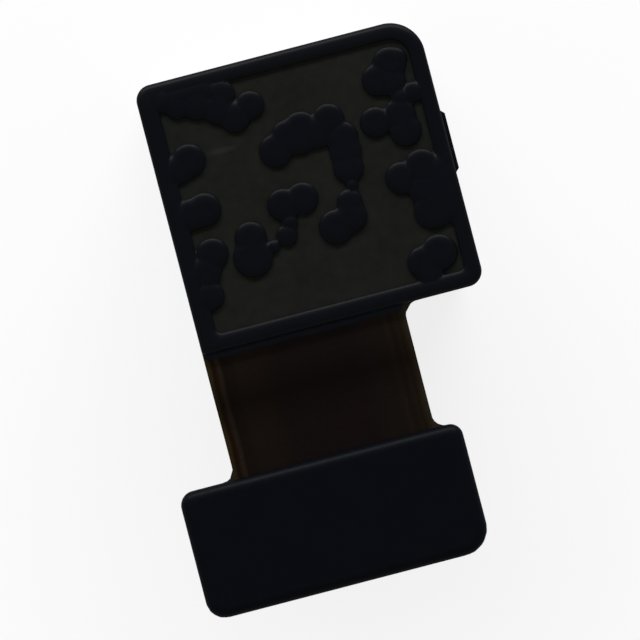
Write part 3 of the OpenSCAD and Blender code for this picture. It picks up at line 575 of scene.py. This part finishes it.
def triangulated_grid(xs, ys):
    """Points of a grid, and two triangles for each of its cells."""
    px, py = np.meshgrid(xs, ys, indexing="ij")
    points = np.stack([px.ravel(), py.ravel()], axis=1)
    rows, columns = len(xs), len(ys)
    corner = (np.arange(rows - 1)[:, None] * columns + np.arange(columns - 1)[None, :]).ravel()
    lower = np.stack([corner, corner + columns, corner + columns + 1], axis=1)
    upper = np.stack([corner, corner + columns + 1, corner + 1], axis=1)
    return points, np.concatenate([lower, upper])


def split_at(points, triangles, field, level):
    """Splits the triangles that cross a level of the field along it, and tells which ones lie above it."""
    above = field(*points.T) > level
    count = above[triangles].sum(axis=1)
    crossed = triangles[(count == 1) | (count == 2)]
    kept = triangles[(count == 0) | (count == 3)]
    if not len(crossed):
        return points, triangles, count == 3
    made, out, out_above = {}, [], []

    def crossing(a, b):
        return made.setdefault((a, b) if above[b] else (b, a), len(points) + len(made))

    for tri in crossed.tolist():
        sides = [bool(above[v]) for v in tri]
        lone = sides.index(sum(sides) == 1)
        a, b, c = tri[lone], tri[(lone + 1) % 3], tri[(lone + 2) % 3]
        ab, ac = crossing(a, b), crossing(a, c)
        out += [(a, ab, ac), (ab, b, c), (ab, c, ac)]
        out_above += [sides[lone], not sides[lone], not sides[lone]]
    ends = np.array(list(made))
    below_end, above_end = points[ends[:, 0]], points[ends[:, 1]]
    for _ in range(16):
        halfway = (below_end + above_end) / 2
        high = (field(*halfway.T) > level)[:, None]
        below_end = np.where(high, below_end, halfway)
        above_end = np.where(high, halfway, above_end)
    return (
        np.concatenate([points, (below_end + above_end) / 2]),
        np.concatenate([kept, np.array(out)]),
        np.concatenate([above[kept].all(axis=1), np.array(out_above)]),
    )


def carved(xs, ys, cuts):
    """The part of a grid where every field is below zero, with edges along each of their levels."""
    points, triangles = triangulated_grid(xs, ys)
    for field, levels in cuts:
        for level in (0.0, *levels):
            points, triangles, above = split_at(points, triangles, field, level)
            if level == 0.0:
                triangles = triangles[~above]
    used, triangles = np.unique(triangles, return_inverse=True)
    return points[used], triangles.reshape(-1, 3)


def rim_edges(triangles):
    """Edges with a triangle on one side only, with the triangle on their left."""
    directed = {edge for a, b, c in triangles.tolist() for edge in ((a, b), (b, c), (c, a))}
    return [(a, b) for a, b in directed if (b, a) not in directed]


def walled(points, top, normals, triangles, foot):
    """A sheet with an upright wall along its rim down to the foot height: points, faces and normals."""
    edges = rim_edges(triangles)
    rim = sorted({v for edge in edges for v in edge})
    upper = {v: len(points) + i for i, v in enumerate(rim)}
    lower = {v: len(points) + len(rim) + i for i, v in enumerate(rim)}
    verts = [(*p, z) for p, z in zip(points, top)]
    verts += [verts[v] for v in rim] + [(*points[v], foot(*points[v])) for v in rim]
    faces = triangles.tolist() + [(upper[a], lower[a], lower[b], upper[b]) for a, b in edges]
    outward = normals[rim] * (1, 1, 0)
    outward /= np.maximum(np.linalg.norm(outward, axis=1), 1e-6)[:, None]
    return verts, faces, np.concatenate([normals, outward, outward])


def stations(low, high, step):
    """Even places from low to high with both ends, about a step apart."""
    return np.linspace(low, high, max(2, round((high - low) / step) + 1))


def softened(name, width, material, segments=2):
    """A CAD node with its edges softened and its own material."""
    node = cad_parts[name]
    weld = node.modifiers.new("weld", "WELD")
    weld.merge_threshold = 0.0005 * MM
    bevel = node.modifiers.new("bevel", "BEVEL")
    bevel.width = width * MM
    bevel.segments = segments
    bevel.limit_method = "ANGLE"
    bevel.angle_limit = math.radians(40)
    bevel.harden_normals = True
    dressed(name, material)


def dressed(name, material):
    """A CAD node with its own material."""
    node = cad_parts[name]
    node.data.materials.clear()
    node.data.materials.append(MATERIALS[material])


# ---- Outlines as signed distances, negative inside ----

def rounded_box(low, high, radii):
    """Distance to a rectangle with radii for its near left, near right, far right and far left corner."""
    centre = ((low[0] + high[0]) / 2, (low[1] + high[1]) / 2)
    half = ((high[0] - low[0]) / 2, (high[1] - low[1]) / 2)

    def distance(x, y):
        px, py = x - centre[0], y - centre[1]
        near = np.where(px < 0, radii[0], radii[1])
        far = np.where(px < 0, radii[3], radii[2])
        r = np.where(py < 0, near, far)
        qx, qy = np.abs(px) - half[0] + r, np.abs(py) - half[1] + r
        outside = np.hypot(np.maximum(qx, 0), np.maximum(qy, 0))
        return np.minimum(np.maximum(qx, qy), 0) + outside - r

    return distance


def smooth_min(a, b, reach):
    """The smaller of two distances, blended over a reach."""
    share = np.clip(0.5 + 0.5 * (b - a) / reach, 0, 1)
    return b * (1 - share) + a * share - reach * share * (1 - share)


head_outline = rounded_box(head_lo, head_hi, HEAD_RADII)
plate_outline = rounded_box(plate_lo, plate_hi, PLATE_RADII)
window_outline = rounded_box(
    head_lo + np.array([FRAME_LEFT, FRAME_NEAR, 0]), head_hi - np.array([FRAME_RIGHT, FRAME_FAR, 0]),
    WINDOW_RADII,
)
land_bar = rounded_box(
    (head_hi[0] - LAND_BAR_W, head_hi[1] - LAND_BAR_FROM_FAR - LAND_BAR_L),
    (head_hi[0], head_hi[1] - LAND_BAR_FROM_FAR),
    LAND_BAR_RADII,
)
# Keeps the lands in the far left corner level with the frame, inside their outline
corner_fill = rounded_box(
    (head_lo[0] + FILL_NEAR[0], head_hi[1] - FILL_NEAR[1]),
    (head_lo[0] + FILL_FAR[0], head_hi[1] - FILL_FAR[1]),
    LAND_BAR_RADII,
)
LANDS = (
    [(head_lo[0] + x, head_hi[1] - y, r) for x, y, r in LANDS_LEFT]
    + [(head_hi[0] - x, head_hi[1] - y, r) for x, y, r in LANDS_RIGHT]
    + [(head_hi[0] - x, head_lo[1] + y, r) for x, y, r in LANDS_NEAR_RIGHT]
)
LAND_BLEND = 0.12


def cover_shape(x, y):
    """Distance to the frame and its lands, which run into each other."""
    shape = smooth_min(-window_outline(x, y), land_bar(x, y), LAND_BLEND)
    shape = smooth_min(shape, corner_fill(x, y), LAND_BLEND)
    for cx, cy, r in LANDS:
        shape = smooth_min(shape, np.hypot(x - cx, y - cy) - r, LAND_BLEND)
    return shape


def fillet(corner, towards, radius):
    """Distance to a concave fillet that fills the inner corner toward its two sides."""
    overlap = 0.1

    def distance(x, y):
        u, v = (x - corner[0]) * towards[0], (y - corner[1]) * towards[1]
        round_side = radius - np.hypot(u - radius, v - radius)
        return np.maximum.reduce([round_side, u - radius, v - radius, -overlap - u, -overlap - v])

    return distance


FLEX_PARTS = [
    head_outline,
    plate_outline,
    rounded_box((NECK_LEFT, plate_hi[1] - 1), (NECK_RIGHT, head_lo[1] + 1), (0, 0, 0, 0)),
    fillet((NECK_RIGHT, head_lo[1]), (1, -1), NECK_HEAD_FILLET),
    fillet((NECK_RIGHT, plate_hi[1]), (1, 1), NECK_PLATE_FILLET),
    fillet((NECK_LEFT, plate_hi[1]), (-1, 1), NECK_PLATE_FILLET),
]


def flex_outline(x, y):
    """Distance to the flexible circuit in plan."""
    return np.minimum.reduce([part(x, y) for part in FLEX_PARTS])


# ---- Rear cover and stiffener ----

# Turns of a rounded edge at which its rings lie
RING_ANGLES = [math.radians(a) for a in (15, 30, 45, 60, 75, 90)]
# Width of the lands' rounded edge, and over how far its slope and the frame's blend
LAND_EDGE = 0.32
RIDGE_BLEND = 0.2
# How deep the lands reach into the plate they stand on
SUNK = 0.01
STEEPEST = math.sin(math.radians(68))


def edge_levels(width):
    """Depths inside an outline at which the rings of its rounded edge lie."""
    return [-width * (1 - math.cos(a)) for a in RING_ANGLES]


def round_over(outline, x, y, width, height):
    """How far a rounded edge lies below its top, and its normals, up to where it breaks into the wall."""
    lean = np.clip(1 + outline(x, y) / width, 0, 1) * STEEPEST
    upright = np.sqrt(1 - lean**2)
    gx, gy = gradient(outline, x, y)
    slope = lean * STEEPEST / width
    normals = np.stack([gx * slope, gy * slope, upright / height], axis=1)
    normals /= np.linalg.norm(normals, axis=1)[:, None]
    return height * (1 - upright), normals


def rear_cover():
    """The frame and its lands as one soft-edged moulding."""
    step = 0.07
    xs = stations(head_lo[0] - step, head_hi[0] + step, step)
    ys = stations(head_lo[1] - step, head_hi[1] + step, step)
    points, triangles = carved(xs, ys, [
        (head_outline, edge_levels(FRAME_EDGE_R)),
        (cover_shape, edge_levels(LAND_EDGE)),
    ])
    x, y = points.T
    outer_fall, outer_normals = round_over(head_outline, x, y, FRAME_EDGE_R, FRAME_EDGE_R)
    inner_fall, inner_normals = round_over(cover_shape, x, y, LAND_EDGE, COVER_TOP - STEEL_TOP)
    top = COVER_TOP - np.maximum(outer_fall, inner_fall)
    outer = np.clip(0.5 + (head_outline(x, y) - cover_shape(x, y)) / RIDGE_BLEND, 0, 1)[:, None]
    normals = outer * outer_normals + (1 - outer) * inner_normals
    normals /= np.linalg.norm(normals, axis=1)[:, None]

    def foot(px, py):
        return head_lo[2] if head_outline(px, py) > -SUNK else STEEL_TOP - SUNK

    verts, faces, all_normals = walled(points, top, normals, triangles, foot)
    add_piece("rear_cover", verts, faces, "module", ["rear_frame"], "frame_resin", "cover_resin",
              normals=all_normals)


def stiffener():
    """The connector's stiffener with its softly rounded upper edge."""
    step = 0.3
    xs = stations(plate_lo[0] - step, plate_hi[0] + step, step)
    ys = stations(plate_lo[1] - step, plate_hi[1] + step, step)
    points, triangles = carved(xs, ys, [(plate_outline, edge_levels(STIFFENER_EDGE_R))])
    fall, normals = round_over(plate_outline, *points.T, STIFFENER_EDGE_R, STIFFENER_EDGE_R)
    verts, faces, all_normals = walled(
        points, plate_hi[2] - fall, normals, triangles, lambda px, py: plate_lo[2])
    add_piece("soft_stiffener", verts, faces, "module", ["connector_stiffener"], "stiffener", "stiffener",
              normals=all_normals)


# ---- Flexible circuit ----

# How deep the coverlay's relief is, and where it changes across the neck, from the neck's left edge
FILM_STEP = 0.012
TRACE_LINES = [(0.31, 0.36, 0.44, 0.50), (5.66, 5.70, 5.76, 5.80)]
COPPER_EDGES = [(0.20, 0.26), (6.22, 6.16)]
SHEET_STEP, BEND_STEP = 0.3, 0.06


def bend_fall(y):
    """How far the flex has come down at a place along the neck."""
    drop = FLEX_TOP - FLEX_T - TAIL_Z
    radius = BEND_RUN / (2 * math.sin(2 * math.atan(drop / BEND_RUN)))
    along = np.clip(head_lo[1] - BEND_LEAD - y, 0, BEND_RUN)
    down = radius - np.sqrt(radius**2 - np.minimum(along, BEND_RUN / 2) ** 2)
    rest = np.minimum(BEND_RUN - along, BEND_RUN / 2)
    up = radius - np.sqrt(radius**2 - rest**2)
    return np.where(along < BEND_RUN / 2, down, drop - up)


def relief(x):
    """How far the coverlay lies below its highest lines: bare film along the edges, two raised lines."""
    across = x - NECK_LEFT
    low = np.interp(across, [COPPER_EDGES[0][0], COPPER_EDGES[0][1], COPPER_EDGES[1][1], COPPER_EDGES[1][0]],
                    [FILM_STEP, FILM_STEP / 2, FILM_STEP / 2, FILM_STEP])
    for line in TRACE_LINES:
        low = low - np.interp(across, line, [0, FILM_STEP / 2, FILM_STEP / 2, 0])
    return low


def flex_sheet():
    """The flexible circuit as one sheet from under the cover, down its S-bend, to the connector."""
    lines = [NECK_LEFT + v for v in sum(TRACE_LINES + COPPER_EDGES, ())]
    margin = 0.1
    xs = np.union1d(stations(flex_lo[0] - margin, flex_hi[0] + margin, SHEET_STEP), lines)
    bend = stations(head_lo[1] - BEND_LEAD - BEND_RUN, head_lo[1] - BEND_LEAD, BEND_STEP)
    ys = np.union1d(stations(flex_lo[1] - margin, flex_hi[1] + margin, SHEET_STEP), bend)
    points, triangles = carved(xs, ys, [(flex_outline, [])])
    level = FLEX_TOP - bend_fall(points[:, 1])
    count = len(points)
    verts = [(*p, z) for p, z in zip(points, level - relief(points[:, 0]))]
    verts += [(*p, z) for p, z in zip(points, level - FLEX_T)]
    faces = triangles.tolist() + (triangles[:, ::-1] + count).tolist()
    faces += [(a, a + count, b + count, b) for a, b in rim_edges(triangles)]
    add_piece("flex_sheet", verts, faces, "module", ["flex_circuit"], "polyimide", "polyimide")


# Waves in a bead's leg, in radians a millimetre
BEAD_PACES = (2.1, 4.7, 9.3)


def fillet_bead(corner, along, out, up, length, leg, uneven):
    """Rings of a concave bead that lies in a corner, with round ends and a slightly uneven leg."""
    corner, along, out, up = (np.array(v, float) for v in (corner, along, out, up))
    phase = [random.uniform(0, 6) for _ in BEAD_PACES]
    rings = []
    for share in stations(0, 1, 0.3 * leg / length):
        place = share * length
        end = min(place, length - place) / leg
        size = leg * math.sqrt(max(0.04, 1 - max(0.0, 1 - end) ** 2))
        waves = [0.5 + 0.5 * math.sin(place * pace + p) for pace, p in zip(BEAD_PACES, phase)]
        size *= 1 - uneven * sum(waves) / len(BEAD_PACES)
        ring = [corner]
        for a in stations(0, math.pi / 2, 0.2):
            ring.append(corner + size * ((1 - math.sin(a)) * out + (1 - math.cos(a)) * up))
        rings.append([p + place * along for p in ring])
    verts, faces = loft(rings)
    count = len(rings[0])
    faces += [tuple(range(count))[::-1], tuple(range(len(verts) - count, len(verts)))]
    return verts, faces


def neck_bead():
    """Underfill along the near wall of the cover, across the neck."""
    corner = (bead_lo[0], bead_hi[1], bead_lo[2])
    verts, faces = fillet_bead(corner, (1, 0, 0), (0, -1, 0), (0, 0, 1), bead_hi[0] - bead_lo[0],
                               bead_hi[1] - bead_lo[1], 0.25)
    add_piece("underfill_bead", verts, faces, "module", ["neck_bead"], "epoxy", "epoxy")


def terminal_solder():
    """Solder fillets between the coil terminals and the tab of the board."""
    leg = solder_hi[2] - solder_lo[2]
    verts, faces = [], []
    for y in (solder_lo[1], solder_hi[1] - SOLDER_W):
        corner = (solder_lo[0], y, solder_hi[2])
        more, more_faces = fillet_bead(corner, (0, 1, 0), (1, 0, 0), (0, 0, -1), SOLDER_W, leg, 0.1)
        faces += [tuple(v + len(verts) for v in face) for face in more_faces]
        verts += more
    add_piece("solder_fillets", verts, faces, "module", ["terminal_solder"], "solder", "solder")


# ---- Can ----

def square_side(half, radius, notches, spacing=0.3):
    """Places along one side and the corner after it: place on the side, turn of the corner, in a notch."""
    ends = half - radius
    cuts = sorted([-ends, ends] + [edge for notch in notches for edge in notch])
    places = []
    for low, high in zip(cuts, cuts[1:]):
        in_notch = any(a <= (low + high) / 2 <= b for a, b in notches)
        places += [(along, 0.0, in_notch) for along in stations(low, high, spacing)]
    places += [(ends, turned, False) for turned in stations(0, math.pi / 2, 0.13)[1:-1]]
    return places


def square_ring(places, half, radius, inset, z, notch_z=None):
    """A ring round the lens axis, inside a square with round corners by an inset."""
    ring = []
    for quarter in range(4):
        turn = quarter * math.pi / 2
        for along, turned, in_notch in places:
            if turned:
                x = half - radius + (radius - inset) * math.cos(turned)
                y = half - radius + (radius - inset) * math.sin(turned)
            else:
                x, y = half - inset, along
            height = notch_z if in_notch and notch_z is not None else z
            ring.append((
                AXIS[0] + x * math.cos(turn) - y * math.sin(turn),
                AXIS[1] + x * math.sin(turn) + y * math.cos(turn),
                height,
            ))
    return ring


def circle_ring(like, radius, z):
    """A circle round the lens axis with its points in line with another ring's."""
    ring = []
    for x, y, _ in like:
        angle = math.atan2(y - AXIS[1], x - AXIS[0])
        ring.append((AXIS[0] + radius * math.cos(angle), AXIS[1] + radius * math.sin(angle), z))
    return ring


def can():
    """The drawn metal can: rounded front edge, rolled hole, and slots for the base's teeth."""
    half = (can_hi[0] - can_lo[0]) / 2
    rim_z = can_hi[2]
    hole_r = (barrel_hi[0] - barrel_lo[0]) / 2 + RUNNING_GAP
    notches = [(side * TOOTH_PLACE - TOOTH_W / 2, side * TOOTH_PLACE + TOOTH_W / 2) for side in (-1, 1)]
    places = square_side(half, CAN_R, notches)

    def ring(inset, z, notch_z=None):
        return square_ring(places, half, CAN_R, inset, z, notch_z)

    front = can_lo[2]
    rings = [ring(0, rim_z, rim_z - TOOTH_H), ring(0, rim_z - TOOTH_H), ring(0, front + CAN_EDGE_R)]
    for a in RING_ANGLES:
        rings.append(ring(CAN_EDGE_R * (1 - math.cos(a)), front + CAN_EDGE_R * (1 - math.sin(a))))
    outline = rings[0]
    rings.append(ring(CAN_EDGE_R * 1.2, front))
    rings.append(circle_ring(outline, hole_r + HOLE_ROLL * 1.4, front))
    for a in RING_ANGLES[::-1]:
        rolled_r = hole_r + HOLE_ROLL * (1 - math.sin(a))
        rings.append(circle_ring(outline, rolled_r, front + HOLE_ROLL * (1 - math.cos(a))))
    rings.append(circle_ring(outline, hole_r, front + CAN_T))
    rings.append(ring(CAN_T, front + CAN_T))
    rings += [ring(CAN_T, rim_z - TOOTH_H), ring(CAN_T, rim_z, rim_z - TOOTH_H)]
    verts, faces = loft(rings, closed=True)
    outward = [face[::-1] for face in faces]
    add_piece("drawn_can", verts, outward, "module", ["actuator_can"], "can_steel", "can")


# ---- Lens, barrel and coil ----

FRONT_T = 0.35
APERTURE_PLAY = 0.03
LENS_FIT = 0.01
FLARE_W = 0.92
FLARE_STEPS = 5
APERTURE_LAND = 0.08
BARREL_BEVEL = 0.2
FLANGE_W = [0.55, 0.75, 0.8, 0.75, 0.6]
FRONT_BULGE = [0.22, -0.02, -0.03, -0.16, -0.15]
BACK_BULGE = [-0.05, -0.12, 0.06, 0.1, -0.08]
BACK_WAVE = [0, 0, 0, 0, 0.48]


def lens_places():
    """Radius, seat and back of each lens, from the parts round it."""
    radii = [(box(f"lens_{i}")[1][0] - box(f"lens_{i}")[0][0]) / 2 for i in range(1, 6)]
    gaskets = [box(f"lens_gasket_{i}") for i in range(1, 5)]
    seats = [barrel_lo[2] + FRONT_T] + [high[2] for _, high in gaskets]
    backs = [low[2] for low, _ in gaskets] + [box("retaining_ring")[0][2]]
    return list(zip(radii, seats, backs))


def lens(i, radius, seat, back):
    """One moulded lens element with its smooth surfaces and flat flange."""
    clear = radius - FLANGE_W[i]
    shares = stations(0, 1, 1 / 24)

    def sag(bulge, wave, u):
        return bulge * (1 - u * u) + wave * u * u * (1 - u * u)

    bevel = 0.02
    profile = [(clear * u, seat - sag(FRONT_BULGE[i], 0, u)) for u in shares]
    profile += [(radius - bevel, seat), (radius, seat + bevel)]
    profile += [(radius, back - bevel), (radius - bevel, back)]
    profile += [(clear * u, back + sag(BACK_BULGE[i], BACK_WAVE[i], u)) for u in shares[::-1]]
    material = "front_glass" if i == 0 else "inner_glass"
    lathe(f"lens_element_{i + 1}", profile, 128, body="lens_unit", nodes=[f"lens_{i + 1}"], slot="lens_glass",
          material=material, sharp=30)


def barrel(places):
    """The lens barrel: stepped flare round the aperture, tool notches and the stepped bore."""
    radius = (barrel_hi[0] - barrel_lo[0]) / 2
    front, back = barrel_lo[2], barrel_hi[2]
    notch_r, notch_z = radius - NOTCH_OUT, front + NOTCH_H
    aperture = places[0][0] - FLANGE_W[0] + APERTURE_PLAY
    seat = places[0][1]
    flare = []
    land_z = seat - APERTURE_LAND
    rise = (land_z - front) / FLARE_STEPS
    tread = FLARE_W / FLARE_STEPS
    for k in range(FLARE_STEPS):
        flare += [(aperture + k * tread + 0.25 * tread, land_z - k * rise),
                  (aperture + (k + 1) * tread, land_z - (k + 1) * rise + 0.35 * rise)]
    plain = [(aperture, seat), (aperture, land_z), *flare, (aperture + FLARE_W, front)]
    same = [(r, z, r, z) for r, z in plain]
    notched = [
        (notch_r, front, notch_r, front), (notch_r, front, notch_r, notch_z),
        (radius - BARREL_BEVEL, front, radius - BARREL_BEVEL, notch_z),
        (radius, front + BARREL_BEVEL, radius, notch_z), (radius, notch_z, radius, notch_z),
    ]
    rear = [(radius, back - BARREL_BEVEL / 2), (radius - BARREL_BEVEL / 2, back)]
    rear.append((places[-1][0] + LENS_FIT, back))
    for lens_r, lens_seat, lens_back in places[::-1]:
        rear += [(lens_r + LENS_FIT, lens_back), (lens_r + LENS_FIT, lens_seat)]
    rings_of = same + notched + [(r, z, r, z) for r, z in rear]
    half = math.asin(NOTCH_W / 2 / (radius - NOTCH_OUT / 2))
    angles = []
    for quarter in range(4):
        middle = math.radians(45 + 90 * quarter)
        angles += [(middle + t, True) for t in stations(-half, half, 0.05)]
        angles += [(middle + t, False) for t in stations(half, math.pi / 2 - half, 0.05)]
    rings = []
    for r, z, cut_r, cut_z in rings_of:
        rings.append([
            (AXIS[0] + (cut_r if cut else r) * math.cos(a), AXIS[1] + (cut_r if cut else r) * math.sin(a),
             cut_z if cut else z)
            for a, cut in angles
        ])
    verts, faces = loft(rings, closed=True)
    add_piece("stepped_barrel", verts, faces, "lens_unit", ["lens_barrel"], "barrel_resin", "barrel")


def octagon_ring(flat, z, corner_r=0.12):
    """A ring round the lens axis: an octagon with round corners, from its half width."""
    ring = []
    for k in range(8):
        direction = math.radians(22.5 + 45 * k)
        reach = (flat - corner_r) / math.cos(math.radians(22.5))
        for a in stations(math.radians(45 * k), math.radians(45 * (k + 1)), 0.26):
            ring.append((
                AXIS[0] + reach * math.cos(direction) + corner_r * math.cos(a),
                AXIS[1] + reach * math.sin(direction) + corner_r * math.sin(a),
                z,
            ))
    return ring


def coil():
    """The focus coil with each layer of wire showing as a round ridge."""
    flat = (coil_hi[0] - coil_lo[0]) / 2
    wire = (coil_hi[2] - coil_lo[2]) / COIL_TURNS
    rings = [octagon_ring(flat - COIL_T, coil_lo[2])]
    for turn in range(COIL_TURNS):
        for a in stations(-math.pi / 2, math.pi / 2, 0.8):
            ridge = wire / 2 * (1 - math.cos(a))
            rings.append(octagon_ring(flat - ridge, coil_lo[2] + wire * (turn + 0.5 + 0.5 * math.sin(a))))
    rings.append(octagon_ring(flat - COIL_T, coil_hi[2]))
    verts, faces = loft(rings, closed=True)
    add_piece("wound_coil", verts, faces, "lens_unit", ["focus_coil"], "winding", "winding", sharp=70)


# ---- All pieces ----

rear_cover()
stiffener()
flex_sheet()
neck_bead()
terminal_solder()
can()
coil()
lens_data = lens_places()
barrel(lens_data)
for index, (lens_r, lens_seat, lens_back) in enumerate(lens_data):
    lens(index, lens_r, lens_seat, lens_back)

SOFTENED = [
    ("head_board", 0.012, "board"), ("connector_board", 0.012, "board"), ("image_sensor", 0.01, "silicon"),
    ("chip_capacitors", 0.03, "ceramic"), ("focus_driver", 0.025, "chip"), ("memory_chip", 0.025, "chip"),
    ("sensor_holder", 0.03, "holder"), ("ir_filter", 0.02, "filter"), ("actuator_base", 0.03, "base"),
    ("lens_carrier", 0.02, "carrier"), ("coil_terminals", 0.02, "gold"), ("retaining_ring", 0.02, "barrel"),
    ("plug_housing", 0.05, "plug"), ("plug_contacts", 0.02, "gold"), ("plug_hold_downs", 0.02, "gold"),
    ("spring_spacer", 0.015, "base"),
]
for name, width, material in SOFTENED:
    softened(name, width, material)
for index in range(1, 5):
    softened(f"magnet_{index}", 0.05, "magnet")
for name, material in [("back_plate", "plate_steel"), ("bond_wires", "gold"), ("front_spring", "spring"),
                       ("rear_springs", "spring")]:
    dressed(name, material)
for index in range(1, 5):
    dressed(f"lens_gasket_{index}", "barrel")


# ---- Floor, light and camera ----

VIEW_TURN = math.radians(-14.62)
FRAME_W = 19.93
CAMERA_AWAY = 250
SENSOR_W = 36
AIM_SHIFT = (0.156, -0.047)
# How much of the floor is shown as plain white, and that white
FLOOR_WHITE = 0.82
SHOWN_WHITE = (0.98, 0.98, 0.98, 1)
FLOOR_REACH = 400
SOFTBOX_PLACE = (24, 226, 112)
SOFTBOX_W, SOFTBOX_H = 400, 44
SOFTBOX_WATTS = 1.26
WORLD_LIGHT = 0.385

low, high = (np.array(corner) / MM for corner in cad_box)
middle = (low + high) / 2


def floor():
    """A plain pale floor under the module."""
    reach = FLOOR_REACH * MM
    mesh = bmesh.new()
    corners = [(x * reach, y * reach, low[2] * MM) for x, y in ((-1, -1), (1, -1), (1, 1), (-1, 1))]
    mesh.faces.new([mesh.verts.new(corner) for corner in corners])
    data = bpy.data.meshes.new("floor")
    mesh.to_mesh(data)
    mesh.free()
    made = bpy.data.objects.new("floor", data)
    bpy.context.scene.collection.objects.link(made)
    tree = Tree("floor")
    clouds = tree.noise(90, 2.0)
    tree.finish(
        Base_Color=tree.ramp(clouds, [(0.3, (0.925, 0.925, 0.925)), (0.7, (0.945, 0.945, 0.945))]),
        Roughness=0.8,
        Specular_IOR_Level=0.1,
    )
    seen = tree.add("ShaderNodeLightPath")
    shown = tree.math("MAXIMUM", seen.outputs["Is Camera Ray"], seen.outputs["Is Glossy Ray"])
    shown = tree.math("MAXIMUM", shown, seen.outputs["Is Transmission Ray"])
    share = tree.math("MULTIPLY", shown, FLOOR_WHITE)
    white = tree.add("ShaderNodeEmission", {"Color": SHOWN_WHITE, "Strength": 1.0})
    mix = tree.add("ShaderNodeMixShader", {
        "Fac": share, 1: tree.shader.outputs["BSDF"], 2: white.outputs["Emission"],
    })
    tree.feed(tree.nodes["Material Output"].inputs["Surface"], mix.outputs["Shader"])
    data.materials.append(tree.material)


def softbox(name, place, width, height, power):
    """A soft lamp that looks at the module."""
    data = bpy.data.lights.new(name, "AREA")
    data.shape = "RECTANGLE"
    data.size, data.size_y = width * MM, height * MM
    data.energy = power
    made = bpy.data.objects.new(name, data)
    made.location = Vector(place) * MM
    made.rotation_euler = (Vector(middle) - Vector(place)).to_track_quat("-Z", "Y").to_euler()
    bpy.context.scene.collection.objects.link(made)


def white_world(strength):
    """A soft even light, which the camera, reflections and glass see as plain white."""
    world = bpy.data.worlds.new("studio")
    world.use_nodes = True
    bpy.context.scene.world = world
    nodes, links = world.node_tree.nodes, world.node_tree.links
    seen = nodes.new("ShaderNodeLightPath")
    shows = seen.outputs["Is Camera Ray"]
    for kind in ("Is Glossy Ray", "Is Transmission Ray"):
        either = nodes.new("ShaderNodeMath")
        either.operation = "MAXIMUM"
        links.new(shows, either.inputs[0])
        links.new(seen.outputs[kind], either.inputs[1])
        shows = either.outputs["Value"]
    lit = nodes["Background"]
    lit.inputs["Color"].default_value = (1, 1, 1, 1)
    lit.inputs["Strength"].default_value = strength
    shown = nodes.new("ShaderNodeBackground")
    shown.inputs["Color"].default_value = (1, 1, 1, 1)
    shown.inputs["Strength"].default_value = 1.0
    mix = nodes.new("ShaderNodeMixShader")
    links.new(shows, mix.inputs["Fac"])
    links.new(lit.outputs["Background"], mix.inputs[1])
    links.new(shown.outputs["Background"], mix.inputs[2])
    links.new(mix.outputs["Shader"], nodes["World Output"].inputs["Surface"])


def camera():
    """Straight above the module, turned so that it leans to the left in the picture."""
    data = bpy.data.cameras.new("camera")
    data.sensor_width = SENSOR_W
    data.lens = SENSOR_W * CAMERA_AWAY / FRAME_W
    data.clip_start, data.clip_end = 1 * MM, 5000 * MM
    made = bpy.data.objects.new("camera", data)
    right = Vector((math.cos(VIEW_TURN), math.sin(VIEW_TURN), 0))
    up = Vector((-math.sin(VIEW_TURN), math.cos(VIEW_TURN), 0))
    centre = Vector((middle[0], middle[1], 0)) + AIM_SHIFT[0] * right + AIM_SHIFT[1] * up
    made.location = (centre + Vector((0, 0, high[2] + CAMERA_AWAY))) * MM
    made.rotation_euler = (0, 0, VIEW_TURN)
    bpy.context.scene.collection.objects.link(made)
    bpy.context.scene.camera = made


floor()
softbox("softbox", SOFTBOX_PLACE, SOFTBOX_W, SOFTBOX_H, SOFTBOX_WATTS)
white_world(WORLD_LIGHT)
camera()
bpy.context.scene.view_settings.view_transform = "Standard"
